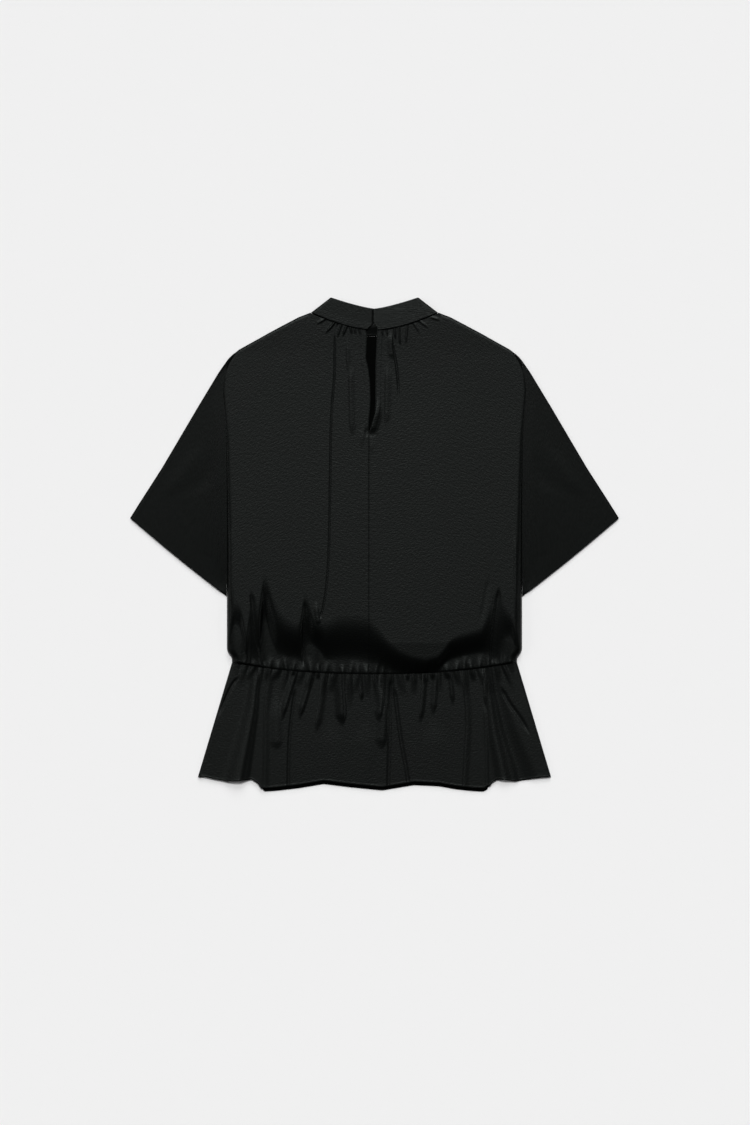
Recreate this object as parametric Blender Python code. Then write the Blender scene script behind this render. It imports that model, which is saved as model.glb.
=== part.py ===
"""Black satin blouse, laid flat with its back upwards.

X runs across the blouse, Y from its hem to its neck and Z up from the surface that it
lies on. The origin is the middle of its outline, on that surface. Left and right are
those of someone who looks down on it. Every piece is a cloth wall with a small gap to the
piece that it is sewn to. The front lies on the surface, the sleeves and the waist elastic
lie on the front, and the back and the back peplum lie on top.
"""
import math
from collections import namedtuple

import bmesh
import bpy
from mathutils import Vector

WALL = 0.0012
GAP = 0.0003
ELASTIC_WALL = 0.0007

ON_FRONT = WALL + GAP
ON_SLEEVE = 2.0 * ON_FRONT
ON_ELASTIC = ON_FRONT + 2.0 * (ELASTIC_WALL + GAP)

NECK_HALF = 0.084
NECK_SIDE_Y = 0.306
BACK_NECK_Y = 0.2825
FRONT_NECK_Y = 0.275
COLLAR_TOP_HALF = 0.058
COLLAR_PEAK_Y = 0.326
COLLAR_BACK_TOP_Y = 0.311
COLLAR_FRONT_TOP_Y = 0.304
COLLAR_MEET = 0.45
COLLAR_LEFT_MEET_X = -0.00145
COLLAR_RIGHT_MEET_X = -0.00115
COLLAR_LEFT_CORNER_X = -0.0094
COLLAR_RIGHT_CORNER_X = 0.0046
NECK_TUCK = 0.0025
NECK_END_X = 0.064
NECK_END_LENGTH = 0.010
NECK_END_GAP = 0.0008

# Powers of the curves from the middle of a piece to its side.
BACK_NECK_POWER = 1.7
FRONT_NECK_POWER = 1.9
COLLAR_BACK_POWER = 1.3
COLLAR_FRONT_POWER = 1.5
WAIST_POWER = 2.4

UNDERARM_Y = -0.069
UNDERARM_SEAM = 0.010
SLEEVE_TUCK = 0.003
SLEEVE_TUCK_SHARE = 0.05
SLEEVE_OPENING_LIFT = 0.0012
SLEEVE_LIFT_ALONG = 0.4
SLEEVE_LIFT_ACROSS = 0.3
SLEEVE_ROLL = 0.0009
SLEEVE_TURN = WALL * 1.15
SLEEVE_TURN_INSIDE = SLEEVE_TURN + 0.0006
SLEEVE_TURN_HEIGHT = WALL * 0.7
SLEEVE_FLAT_FROM = 0.0045

WAIST_HALF = 0.188
WAIST_MIDDLE_Y = -0.171
WAIST_SIDE_RISE = 0.0155
ELASTIC_HALF = 0.176
ELASTIC_WIDTH = 0.007
ELASTIC_CLEAR = ELASTIC_WIDTH / 2 + 0.0005
CENTRE_SEAM_X = -0.0073

HEM_HALF = 0.233
FRONT_PEPLUM_INSET = 0.001
FRONT_HEM_SHOWS = 0.0045
FRONT_SHOWS_LEFT = -0.150
FRONT_SHOWS_RIGHT = 0.153
FRONT_SHOWS_FADE = 0.004
FRONT_HEM_HIDDEN = 0.003

BODY_REST = 0.0026
PEPLUM_REST = 0.0030
EDGE_ROLL = 0.014
SEAM_ROLL = 0.010
NECK_ROLL_FROM = 0.003
SLEEVE_COVER_TOP_Y = 0.250
SLEEVE_COVER_TOP_FADE = 0.010
SLEEVE_COVER_LOW_FADE = 0.015
SEAM_REST_PAST_ELASTIC = 0.004
SEAM_REST_FADE = 0.007

WAIST_GATHERS = 35
WAIST_GATHER_HEIGHT = 0.0009
GATHER_LENGTH_ABOVE = 0.030
GATHER_LENGTH_BELOW = 0.036
FRONT_GATHER_HEIGHT = 0.0008
NECK_GATHER_HEIGHT = 0.0008
NECK_GATHER_LENGTH = 0.024
NECK_GATHER_FROM = 0.0035
NECK_GATHER_RISE = 0.004
GATHER_FULL_TO = 0.008
GATHER_RISE = 0.006
GATHER_AT_SEAM = 0.35
GATHER_SPREAD = 0.9
GATHER_DOUBLING = 0.0004
GATHERS_FADE_X = 0.165
GATHERS_FADE = 0.020
FRONT_GATHERS_FADE_X = 0.135
FRONT_GATHERS_FADE = 0.025
FRONT_GATHER_RISE = 0.005

Station = namedtuple("Station", "at value")
SlitEdge = namedtuple("SlitEdge", "y left_x right_x")
Wave = namedtuple("Wave", "size rate phase")
Blouse = namedtuple("Blouse", "x crest height")
NeckGathers = namedtuple("NeckGathers", "first_x last_x count")
Fold = namedtuple("Fold", "half_width height path")

# Half width of the body at each y, from the waist up the side seam and the armhole.
BODY_EDGE = (
    Station(-0.171, 0.1880),
    Station(-0.150, 0.1880),
    Station(-0.1445, 0.1920),
    Station(-0.139, 0.1947),
    Station(-0.069, 0.1947),
    Station(0.037, 0.1945),
    Station(0.139, 0.1955),
    Station(0.202, 0.2000),
    Station(0.222, 0.1980),
    Station(0.238, 0.1940),
    Station(0.252, 0.1850),
)

# Height of the shoulder seam at each distance from the middle.
SHOULDER = (
    Station(0.084, 0.3060),
    Station(0.100, 0.3000),
    Station(0.179, 0.2570),
    Station(0.185, 0.2520),
)

# Fold along the top of a sleeve: y at each x, from the shoulder to the tip.
SLEEVE_TOP = (
    Station(0.1853, 0.2523),
    Station(0.189, 0.2490),
    Station(0.193, 0.2450),
    Station(0.205, 0.2280),
    Station(0.234, 0.1800),
    Station(0.2805, 0.1010),
    Station(0.311, 0.0535),
    Station(0.3225, 0.0350),
)

# How far the sleeve opening bows out from a straight line, tip to underarm.
SLEEVE_OPENING_BOW = 0.0012

# Edges of the opening at the centre back, closed below it by the centre seam.
SLIT = (
    SlitEdge(-0.1710, CENTRE_SEAM_X - GAP / 2, CENTRE_SEAM_X + GAP / 2),
    SlitEdge(0.1485, CENTRE_SEAM_X - GAP / 2, CENTRE_SEAM_X + GAP / 2),
    SlitEdge(0.1550, -0.0074, -0.0040),
    SlitEdge(0.1696, -0.0066, -0.0003),
    SlitEdge(0.2000, -0.0058, 0.0007),
    SlitEdge(0.2300, -0.0078, 0.0013),
    SlitEdge(0.2460, -0.0104, 0.0016),
    SlitEdge(0.2607, -0.0106, 0.0029),
    SlitEdge(0.2790, -0.0117, 0.0038),
    SlitEdge(0.2900, -0.0122, 0.0044),
)

# Lower outline of the peplum: y at each x. Between the flutes at its two ends the front
# hem is what is seen lowest.
HEM = (
    Station(-0.2330, -0.3065),
    Station(-0.2090, -0.3100),
    Station(-0.1940, -0.3125),
    Station(-0.1620, -0.3095),
    Station(-0.1540, -0.3150),
    Station(-0.1460, -0.3260),
    Station(-0.1000, -0.3215),
    Station(-0.0670, -0.3160),
    Station(-0.0350, -0.3200),
    Station(0.0100, -0.3245),
    Station(0.0520, -0.3175),
    Station(0.0850, -0.3190),
    Station(0.1070, -0.3230),
    Station(0.1450, -0.3260),
    Station(0.1550, -0.3140),
    Station(0.1620, -0.3095),
    Station(0.1860, -0.3125),
    Station(0.2180, -0.3075),
    Station(0.2330, -0.3065),
)

# The loose cloth above the waist: the distance of its crest above the seam and its height.
BLOUSE = (
    Blouse(-0.188, 0.055, 0.0008),
    Blouse(-0.150, 0.090, 0.0015),
    Blouse(-0.105, 0.078, 0.0020),
    Blouse(-0.060, 0.066, 0.0022),
    Blouse(0.020, 0.066, 0.0022),
    Blouse(0.067, 0.032, 0.0011),
    Blouse(0.090, 0.036, 0.0015),
    Blouse(0.115, 0.048, 0.0020),
    Blouse(0.150, 0.046, 0.0017),
    Blouse(0.188, 0.040, 0.0008),
)
BLOUSE_FADE = 0.055
BLOUSE_FOOT = 0.012
BLOUSE_FOOT_SHARE = 0.3

# What makes the gathers uneven: their pitch, by number, and their height, by place.
GATHER_PITCH = (Wave(0.24, 1.7, 0.0), Wave(0.14, 4.1, 1.0))
GATHER_SIZE = Wave(0.2, 61.0, 0.7)

# Gathers under the collar, to the left and to the right of the opening.
NECK_GATHERS = (
    NeckGathers(-0.079, -0.014, 10),
    NeckGathers(0.010, 0.042, 6),
)

# Soft ridges and troughs of the back. Each path runs from its low end to its high end.
BACK_FOLDS = (
    Fold(0.0080, 0.0013, ((-0.0726, -0.105), (-0.0614, -0.030), (-0.0587, 0.081),
                          (-0.0548, 0.200), (-0.0520, 0.274))),
    Fold(0.0080, 0.0011, ((0.0325, 0.150), (0.0325, 0.210), (0.0264, 0.2515),
                          (0.0238, 0.274))),
    Fold(0.0100, 0.0007, ((-0.0327, 0.120), (-0.0340, 0.270))),
    Fold(0.0090, 0.0006, ((0.0173, 0.120), (0.0180, 0.260))),
    Fold(0.0070, -0.0009, ((-0.1400, -0.175), (-0.1432, -0.160), (-0.1617, -0.050))),
    Fold(0.0120, -0.0013, ((-0.1180, -0.175), (-0.1220, -0.150), (-0.1445, -0.030))),
    Fold(0.0090, 0.0009, ((-0.1040, -0.175), (-0.1060, -0.060))),
    Fold(0.0090, -0.0012, ((-0.0870, -0.175), (-0.0890, -0.055))),
    Fold(0.0100, -0.0010, ((0.0700, -0.175), (0.0640, -0.110))),
    Fold(0.0090, -0.0009, ((0.0980, -0.175), (0.1100, -0.105))),
    Fold(0.0090, 0.0009, ((0.1360, -0.175), (0.1400, -0.085))),
    Fold(0.0080, -0.0013, ((0.1510, -0.175), (0.1530, -0.155), (0.1640, -0.050))),
)

# Flutes of the back peplum. Paths that end past the hem run out through it.
PEPLUM_FOLDS = (
    Fold(0.0080, -0.0010, ((-0.2250, -0.290), (-0.2070, -0.261), (-0.1750, -0.185))),
    Fold(0.0130, -0.0016, ((-0.1800, -0.350), (-0.1710, -0.290), (-0.1525, -0.172))),
    Fold(0.0110, 0.0022, ((-0.1480, -0.350), (-0.1450, -0.196), (-0.1350, -0.165))),
    Fold(0.0100, -0.0011, ((-0.1290, -0.350), (-0.1290, -0.240))),
    Fold(0.0100, -0.0012, ((-0.1150, -0.350), (-0.1130, -0.242), (-0.1030, -0.176))),
    Fold(0.0080, -0.0008, ((-0.1000, -0.236), (-0.0860, -0.176))),
    Fold(0.0100, 0.0014, ((-0.0720, -0.240), (-0.0710, -0.170))),
    Fold(0.0100, -0.0009, ((-0.0430, -0.245), (-0.0416, -0.172))),
    Fold(0.0090, 0.0008, ((-0.0190, -0.212), (-0.0180, -0.170))),
    Fold(0.0090, 0.0013, ((0.0080, -0.260), (0.0086, -0.185))),
    Fold(0.0080, -0.0015, ((0.0180, -0.350), (0.0180, -0.172))),
    Fold(0.0100, -0.0013, ((0.0470, -0.350), (0.0340, -0.258), (0.0260, -0.180))),
    Fold(0.0100, 0.0013, ((0.0620, -0.245), (0.0610, -0.180))),
    Fold(0.0090, -0.0008, ((0.0740, -0.235), (0.0730, -0.174))),
    Fold(0.0120, 0.0022, ((0.1170, -0.350), (0.1210, -0.242), (0.1190, -0.168))),
    Fold(0.0080, -0.0012, ((0.1470, -0.350), (0.1460, -0.225))),
    Fold(0.0120, -0.0014, ((0.1830, -0.350), (0.1590, -0.248), (0.1550, -0.180))),
    Fold(0.0110, 0.0017, ((0.2080, -0.290), (0.1930, -0.240), (0.1660, -0.180))),
    Fold(0.0080, -0.0010, ((0.2220, -0.290), (0.2030, -0.249), (0.1750, -0.185))),
)
FOLD_FADE = 0.25

BACK_COLUMNS = 17
FRONT_COLUMNS = 20
PEPLUM_COLUMNS = 46
PEPLUM_FRONT_COLUMNS = 20
NECK_COLUMN_PITCH = 0.0032
NECK_COLUMNS = 26
NECK_COLUMN_GAP = 0.02
WAIST_COLUMN_GAP = 0.002
NECK_ROWS = (0.252, 0.2487, 0.2447, 0.238)
BODY_ROWS = (0.222, 0.202, 0.180, 0.160, 0.139, 0.1298, 0.105, 0.072, 0.037, 0.005, -0.015,
             -0.030, -0.052, -0.069, -0.085, -0.100, -0.113, -0.124)
WAIST_ROWS = (-0.132, -0.139, -0.1445, -0.150, -0.153, -0.1555)
PEPLUM_TOP_ROWS = (0.0, 0.035, 0.075, 0.130, 0.205)
PEPLUM_LOW_ROWS = (0.300, 0.400, 0.500, 0.600, 0.700, 0.800, 0.900, 1.0)
PEPLUM_FRONT_LOW_ROWS = (0.45, 0.75)
SLEEVE_RINGS = 7
SLEEVE_STATIONS = (0.238, 0.222, 0.202, 0.139, 0.037, -0.030, -0.050)
COLLAR_ROWS = (0.0, 0.20, COLLAR_MEET, 0.75, 1.0)
COLLAR_COLUMNS = 9
ROLL_SEGMENTS = 4
SHARP_ANGLE = math.radians(50.0)
ELASTIC_COLUMNS = 16

SATIN_BLACK = (0.0137, 0.0152, 0.0144, 1.0)
SATIN_ROUGHNESS = 0.38
ELASTIC_BLACK = (0.010, 0.010, 0.010, 1.0)
ELASTIC_ROUGHNESS = 0.85


def mix(a, b, t):
    return a + (b - a) * t


def smooth(t):
    t = min(max(t, 0.0), 1.0)
    return t * t * (3.0 - 2.0 * t)


def between(rows, at, column=1):
    """Value of a table's column at a place in its first column, in straight lines."""
    if at <= rows[0][0]:
        return rows[0][column]
    for low, high in zip(rows, rows[1:]):
        if at <= high[0]:
            return mix(low[column], high[column], (at - low[0]) / (high[0] - low[0]))
    return rows[-1][column]


def waist_y(x):
    return WAIST_MIDDLE_Y + WAIST_SIDE_RISE * (abs(x) / WAIST_HALF) ** WAIST_POWER


def neck_y(x, middle_y, power):
    return mix(middle_y, NECK_SIDE_Y, min(abs(x) / NECK_HALF, 1.0) ** power)


def back_neck_y(x):
    return neck_y(x, BACK_NECK_Y, BACK_NECK_POWER)


def front_neck_y(x):
    return neck_y(x, FRONT_NECK_Y, FRONT_NECK_POWER)


def shoulder_y(x):
    return between(SHOULDER, abs(x))


def neck_end(x):
    """0 along the neck and 1 at its two ends, by the folds of the collar."""
    return smooth((abs(x) - NECK_END_X) / NECK_END_LENGTH)


def back_top_y(x):
    """Top edge of the back, tucked under the collar but for its two ends."""
    if abs(x) > NECK_HALF:
        return shoulder_y(x)
    return back_neck_y(x) + mix(NECK_TUCK, -NECK_END_GAP, neck_end(x))


def front_top_y(x):
    if abs(x) > NECK_HALF:
        return shoulder_y(x)
    return front_neck_y(x) - mix(GAP, NECK_END_GAP, neck_end(x))


def gather_crests(first_x, last_x, count):
    """Crests of a row of uneven gathers, and one crest past each end."""
    steps = [1.0 + sum(wave.size * math.sin(wave.rate * k + wave.phase)
                       for wave in GATHER_PITCH) for k in range(count)]
    scale = (last_x - first_x) / sum(steps)
    crests = [first_x]
    for step in steps:
        crests.append(crests[-1] + step * scale)
    return crests


WAIST_CRESTS = gather_crests(-WAIST_HALF, WAIST_HALF, WAIST_GATHERS)
NECK_CRESTS = [gather_crests(*group) for group in NECK_GATHERS]


def gather_wave(crests, x):
    """1 on a crest of the gathers, -1 between two crests, 0 past their ends."""
    if not crests[0] < x < crests[-1]:
        return 0.0
    for low, high in zip(crests, crests[1:]):
        if x <= high:
            return math.cos(2.0 * math.pi * (x - low) / (high - low))
    return 0.0


def waist_gathers(x, distance, length):
    """Gathers beside the waist seam, nearly flat at the stitches and fading outwards."""
    side = 1.0 - smooth((abs(x) - GATHERS_FADE_X) / GATHERS_FADE)
    strength = mix(GATHER_AT_SEAM, 1.0, smooth(distance / GATHER_RISE))
    strength *= 1.0 - smooth((distance - GATHER_FULL_TO) / (length - GATHER_FULL_TO))
    size = 1.0 - GATHER_SIZE.size
    size += GATHER_SIZE.size * math.sin(GATHER_SIZE.rate * x + GATHER_SIZE.phase)
    spread = 1.0 + distance * GATHER_SPREAD
    return side * strength * size * gather_wave(WAIST_CRESTS, x / spread)


def fold_height(folds, x, y):
    """Sum of the soft ridges and troughs at a point."""
    total = 0.0
    for fold in folds:
        low_y = fold.path[0][1]
        high_y = fold.path[-1][1]
        if not low_y < y < high_y:
            continue
        middle = between([(point[1], point[0]) for point in fold.path], y)
        across = abs(x - middle) / fold.half_width
        if across >= 1.0:
            continue
        along = (y - low_y) / (high_y - low_y)
        fade = smooth(along / FOLD_FADE) * smooth((1.0 - along) / FOLD_FADE)
        total += fold.height * fade * math.cos(across * math.pi / 2.0) ** 2
    return total


def blouse_height(x, y):
    """Loose cloth over the waist: up to a crest, then down towards the seam."""
    distance = y - waist_y(x)
    crest = between(BLOUSE, x, 1)
    height = between(BLOUSE, x, 2)
    if distance > crest:
        return height * (1.0 - smooth((distance - crest) / BLOUSE_FADE))
    up = smooth((distance - BLOUSE_FOOT) / (crest - BLOUSE_FOOT))
    return height * mix(BLOUSE_FOOT_SHARE, 1.0, up)


def seam_rest(x):
    """Height at the waist seam: on the elastic, and on the front past its ends."""
    past = abs(x) - ELASTIC_HALF - SEAM_REST_PAST_ELASTIC
    return mix(ON_ELASTIC, ON_FRONT, smooth(past / SEAM_REST_FADE))


def body_edge(y):
    return between(BODY_EDGE, y)


def back_underside(x, y):
    """Underside of the back: rolled down at its edges, with folds between them."""
    from_side = body_edge(y) - abs(x)
    from_top = back_top_y(x) - y
    from_waist = y - waist_y(x)
    on_sleeve = smooth((SLEEVE_COVER_TOP_Y - y) / SLEEVE_COVER_TOP_FADE)
    on_sleeve *= smooth((y - UNDERARM_Y) / SLEEVE_COVER_LOW_FADE)
    edge = mix(ON_FRONT, ON_SLEEVE, on_sleeve)
    edge = mix(ON_FRONT, edge, smooth(from_top / EDGE_ROLL))
    middle = BODY_REST + blouse_height(x, y) + fold_height(BACK_FOLDS, x, y)
    for crests in NECK_CRESTS:
        near = smooth((from_top - NECK_GATHER_FROM) / NECK_GATHER_RISE)
        past = (from_top - GATHER_FULL_TO) / (NECK_GATHER_LENGTH - GATHER_FULL_TO)
        near *= 1.0 - smooth(past)
        middle += NECK_GATHER_HEIGHT * near * gather_wave(crests, x)
    lift = smooth(from_side / EDGE_ROLL) * smooth((from_top - NECK_ROLL_FROM) / EDGE_ROLL)
    height = max(mix(edge, middle, lift), ON_FRONT)
    height = mix(seam_rest(x), height, smooth((from_waist - ELASTIC_CLEAR) / SEAM_ROLL))
    gathers = waist_gathers(x, from_waist, GATHER_LENGTH_ABOVE)
    return height + WAIST_GATHER_HEIGHT * 0.5 * (gathers + abs(gathers))


def back_wall(x, y):
    """Thickness of the back: more where the gathers double it."""
    gathers = waist_gathers(x, y - waist_y(x), GATHER_LENGTH_ABOVE)
    return WALL + GATHER_DOUBLING * max(gathers, 0.0)


def peplum_underside(x, y, edge_x):
    from_waist = waist_y(x) - y
    from_side = edge_x - abs(x)
    middle = PEPLUM_REST + fold_height(PEPLUM_FOLDS, x, y)
    lift = smooth(from_side / EDGE_ROLL)
    height = max(mix(ON_FRONT, middle, lift), ON_FRONT)
    height = mix(seam_rest(x), height, smooth((from_waist - ELASTIC_CLEAR) / SEAM_ROLL))
    gathers = waist_gathers(x, from_waist, GATHER_LENGTH_BELOW)
    return height + WAIST_GATHER_HEIGHT * 0.5 * (gathers + abs(gathers))


def front_lift(x, distance):
    """Gathers of a front piece, which lift it off the surface beside the waist seam."""
    clear = smooth((distance - ELASTIC_CLEAR) / FRONT_GATHER_RISE)
    side = 1.0 - smooth((abs(x) - FRONT_GATHERS_FADE_X) / FRONT_GATHERS_FADE)
    gathers = waist_gathers(x, distance, GATHER_LENGTH_ABOVE)
    return FRONT_GATHER_HEIGHT * clear * side * max(gathers, 0.0)


def crest_columns(low, high):
    """Places across the waist at each crest and trough of its gathers."""
    places = []
    for first, second in zip(WAIST_CRESTS, WAIST_CRESTS[1:]):
        places += [first, (first + second) / 2.0]
    inner = [x for x in places if low + WAIST_COLUMN_GAP < x < high - WAIST_COLUMN_GAP]
    return [low] + inner + [high]


def even(count):
    return [k / count for k in range(count + 1)]


def down_share(side_y):
    """How far down a body panel a row is, from where it meets the side edge."""
    top_y = BODY_EDGE[-1].at
    return min((top_y - side_y) / (top_y - waist_y(WAIST_HALF)), 1.0)


def bridge(lower, upper):
    """Triangles between two rows of (place, vertex), each in rising order of place."""
    faces = []
    i = j = 0
    while i < len(lower) - 1 or j < len(upper) - 1:
        step_lower = j == len(upper) - 1
        if i < len(lower) - 1 and not step_lower:
            step_lower = lower[i + 1][0] <= upper[j + 1][0]
        if step_lower:
            faces.append((lower[i][1], lower[i + 1][1], upper[j][1]))
            i += 1
        else:
            faces.append((lower[i][1], upper[j + 1][1], upper[j][1]))
            j += 1
    return faces


def cloth_material(name, color=SATIN_BLACK, roughness=SATIN_ROUGHNESS):
    material = bpy.data.materials.new(name)
    material.use_nodes = True
    shader = material.node_tree.nodes["Principled BSDF"]
    shader.inputs["Base Color"].default_value = color
    shader.inputs["Roughness"].default_value = roughness
    shader.inputs["Metallic"].default_value = 0.0
    material.diffuse_color = color
    return material


def add_piece(name, bm, material):
    bmesh.ops.recalc_face_normals(bm, faces=bm.faces[:])
    mesh = bpy.data.meshes.new(name)
    bm.to_mesh(mesh)
    bm.free()
    mesh.shade_smooth()
    mesh.set_sharp_from_angle(angle=SHARP_ANGLE)
    mesh.materials.append(material)
    piece = bpy.data.objects.new(name, mesh)
    bpy.context.collection.objects.link(piece)
    return piece


def cloth_piece(name, rows):
    """A cloth wall from rows of (place, outer point, inner point)."""
    bm = bmesh.new()
    outer = [[(place, bm.verts.new(out)) for place, out, _ in row] for row in rows]
    inner = [[(place, bm.verts.new(back)) for place, _, back in row] for row in rows]
    for side in (outer, inner):
        for first, second in zip(side, side[1:]):
            for face in bridge(first, second):
                bm.faces.new(face)
    for end in (0, -1):
        for k in range(len(outer[end]) - 1):
            bm.faces.new((outer[end][k][1], outer[end][k + 1][1],
                          inner[end][k + 1][1], inner[end][k][1]))
        for k in range(len(outer) - 1):
            bm.faces.new((outer[k][end][1], outer[k + 1][end][1],
                          inner[k + 1][end][1], inner[k][end][1]))
    bmesh.ops.triangulate(bm, faces=bm.faces[:])
    return add_piece(name, bm, cloth_material(name + "_satin"))


def tube_piece(name, rings, material):
    """A closed tube wall from rings of (outer point, inner point)."""
    bm = bmesh.new()
    outer = [[bm.verts.new(out) for out, _ in ring] for ring in rings]
    inner = [[bm.verts.new(back) for _, back in ring] for ring in rings]
    count = len(rings[0])
    for side in (outer, inner):
        for first, second in zip(side, side[1:]):
            for k in range(count):
                after = (k + 1) % count
                bm.faces.new((first[k], first[after], second[after], second[k]))
    for end in (0, -1):
        for k in range(count):
            after = (k + 1) % count
            bm.faces.new((outer[end][k], outer[end][after], inner[end][after], inner[end][k]))
    bmesh.ops.triangulate(bm, faces=bm.faces[:])
    return add_piece(name, bm, material)


def back_half(name, side):
    """Half of the back, from its edge at the opening to the side seam and armhole."""
    column = 1 if side < 0 else 2

    top_centre = SLIT[-1][column]
    low_centre = SLIT[0][column]

    def centre_x(y):
        return between(SLIT, y, column)

    def place(u, v):
        top_x = mix(top_centre, side * BODY_EDGE[-1].value, u)
        low_x = mix(low_centre, side * BODY_EDGE[0].value, u)
        y = mix(back_top_y(top_x), waist_y(low_x) + GAP / 2, v)
        return mix(centre_x(y), side * body_edge(y), u), y

    def point(u, v):
        x, y = place(u, v)
        low = back_underside(x, y)
        return (u, Vector((x, y, low + back_wall(x, y))), Vector((x, y, low)))

    top_width = BODY_EDGE[-1].value - side * top_centre
    neck = [k * NECK_COLUMN_PITCH / top_width for k in range(NECK_COLUMNS)]
    neck += [u for u in even(BACK_COLUMNS) if u > neck[-1] + NECK_COLUMN_GAP]
    middle = even(BACK_COLUMNS)
    ends = sorted((low_centre, side * WAIST_HALF))
    waist = [(x - low_centre) / (side * WAIST_HALF - low_centre) for x in crest_columns(*ends)]
    waist.sort()
    rows = []
    for heights, places in ((NECK_ROWS, neck), (BODY_ROWS, middle), (WAIST_ROWS, waist)):
        rows += [[point(u, down_share(y)) for u in places] for y in heights]
    return cloth_piece(name, rows)


def front_body():
    """The bodice front, flat on the surface but for its gathers at the waist."""

    def point(u, v):
        y = mix(front_top_y(u * BODY_EDGE[-1].value), waist_y(u * WAIST_HALF) + GAP / 2, v)
        x = u * body_edge(y)
        low = front_lift(x, y - waist_y(x))
        return (u, Vector((x, y, low)), Vector((x, y, low + WALL)))

    neck = [2.0 * u - 1.0 for u in even(2 * FRONT_COLUMNS)]
    middle = [2.0 * u - 1.0 for u in even(FRONT_COLUMNS)]
    waist = [x / WAIST_HALF for x in crest_columns(-WAIST_HALF, WAIST_HALF)]
    rows = []
    for heights, places in ((NECK_ROWS[::3], neck), (BODY_ROWS, middle), (WAIST_ROWS, waist)):
        rows += [[point(u, down_share(y)) for u in places] for y in heights]
    return cloth_piece("bodice_front", rows)


def front_shows(x):
    """1 where the front hem is seen below the back hem, 0 at the flutes past it."""
    left = smooth((x - FRONT_SHOWS_LEFT) / FRONT_SHOWS_FADE)
    right = smooth((FRONT_SHOWS_RIGHT - x) / FRONT_SHOWS_FADE)
    return left * right


def back_hem_y(x):
    """Hem of the back peplum, a little above the front hem where that shows."""
    return between(HEM, x) + FRONT_HEM_SHOWS * front_shows(x)


def front_hem_y(x):
    """Hem of the front peplum, hidden behind the flutes at the two ends."""
    return between(HEM, x) + FRONT_HEM_HIDDEN * (1.0 - front_shows(x))


def peplum_place(u, v, hem_y, inset):
    """Plan place on a peplum: u across from -1 to 1, v from the waist to the hem."""
    top_x = u * WAIST_HALF
    low_x = u * (HEM_HALF - inset)
    x = mix(top_x, low_x, v)
    return x, mix(waist_y(top_x) - GAP / 2, hem_y(low_x), v)


def peplum_back():
    def point(u, v):
        x, y = peplum_place(u, v, back_hem_y, 0.0)
        low = peplum_underside(x, y, mix(WAIST_HALF, HEM_HALF, v))
        return (u, Vector((x, y, low + WALL)), Vector((x, y, low)))

    top = [x / WAIST_HALF for x in crest_columns(-WAIST_HALF, WAIST_HALF)]
    low = [2.0 * u - 1.0 for u in even(PEPLUM_COLUMNS)]
    rows = [[point(u, v) for u in top] for v in PEPLUM_TOP_ROWS]
    rows += [[point(u, v) for u in low] for v in PEPLUM_LOW_ROWS]
    return cloth_piece("peplum_back", rows)


def peplum_front():
    def point(u, v):
        x, y = peplum_place(u, v, front_hem_y, FRONT_PEPLUM_INSET)
        low = front_lift(x, waist_y(x) - y)
        return (u, Vector((x, y, low)), Vector((x, y, low + WALL)))

    top = [x / WAIST_HALF for x in crest_columns(-WAIST_HALF, WAIST_HALF)]
    low = [2.0 * u - 1.0 for u in even(PEPLUM_FRONT_COLUMNS)]
    hem = [max(min(row.at / (HEM_HALF - FRONT_PEPLUM_INSET), 1.0), -1.0) for row in HEM]
    rows = [[point(u, v) for u in top] for v in PEPLUM_TOP_ROWS]
    rows += [[point(u, v) for u in low] for v in PEPLUM_FRONT_LOW_ROWS]
    rows.append([point(u, 1.0) for u in hem])
    return cloth_piece("peplum_front", rows)


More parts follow.
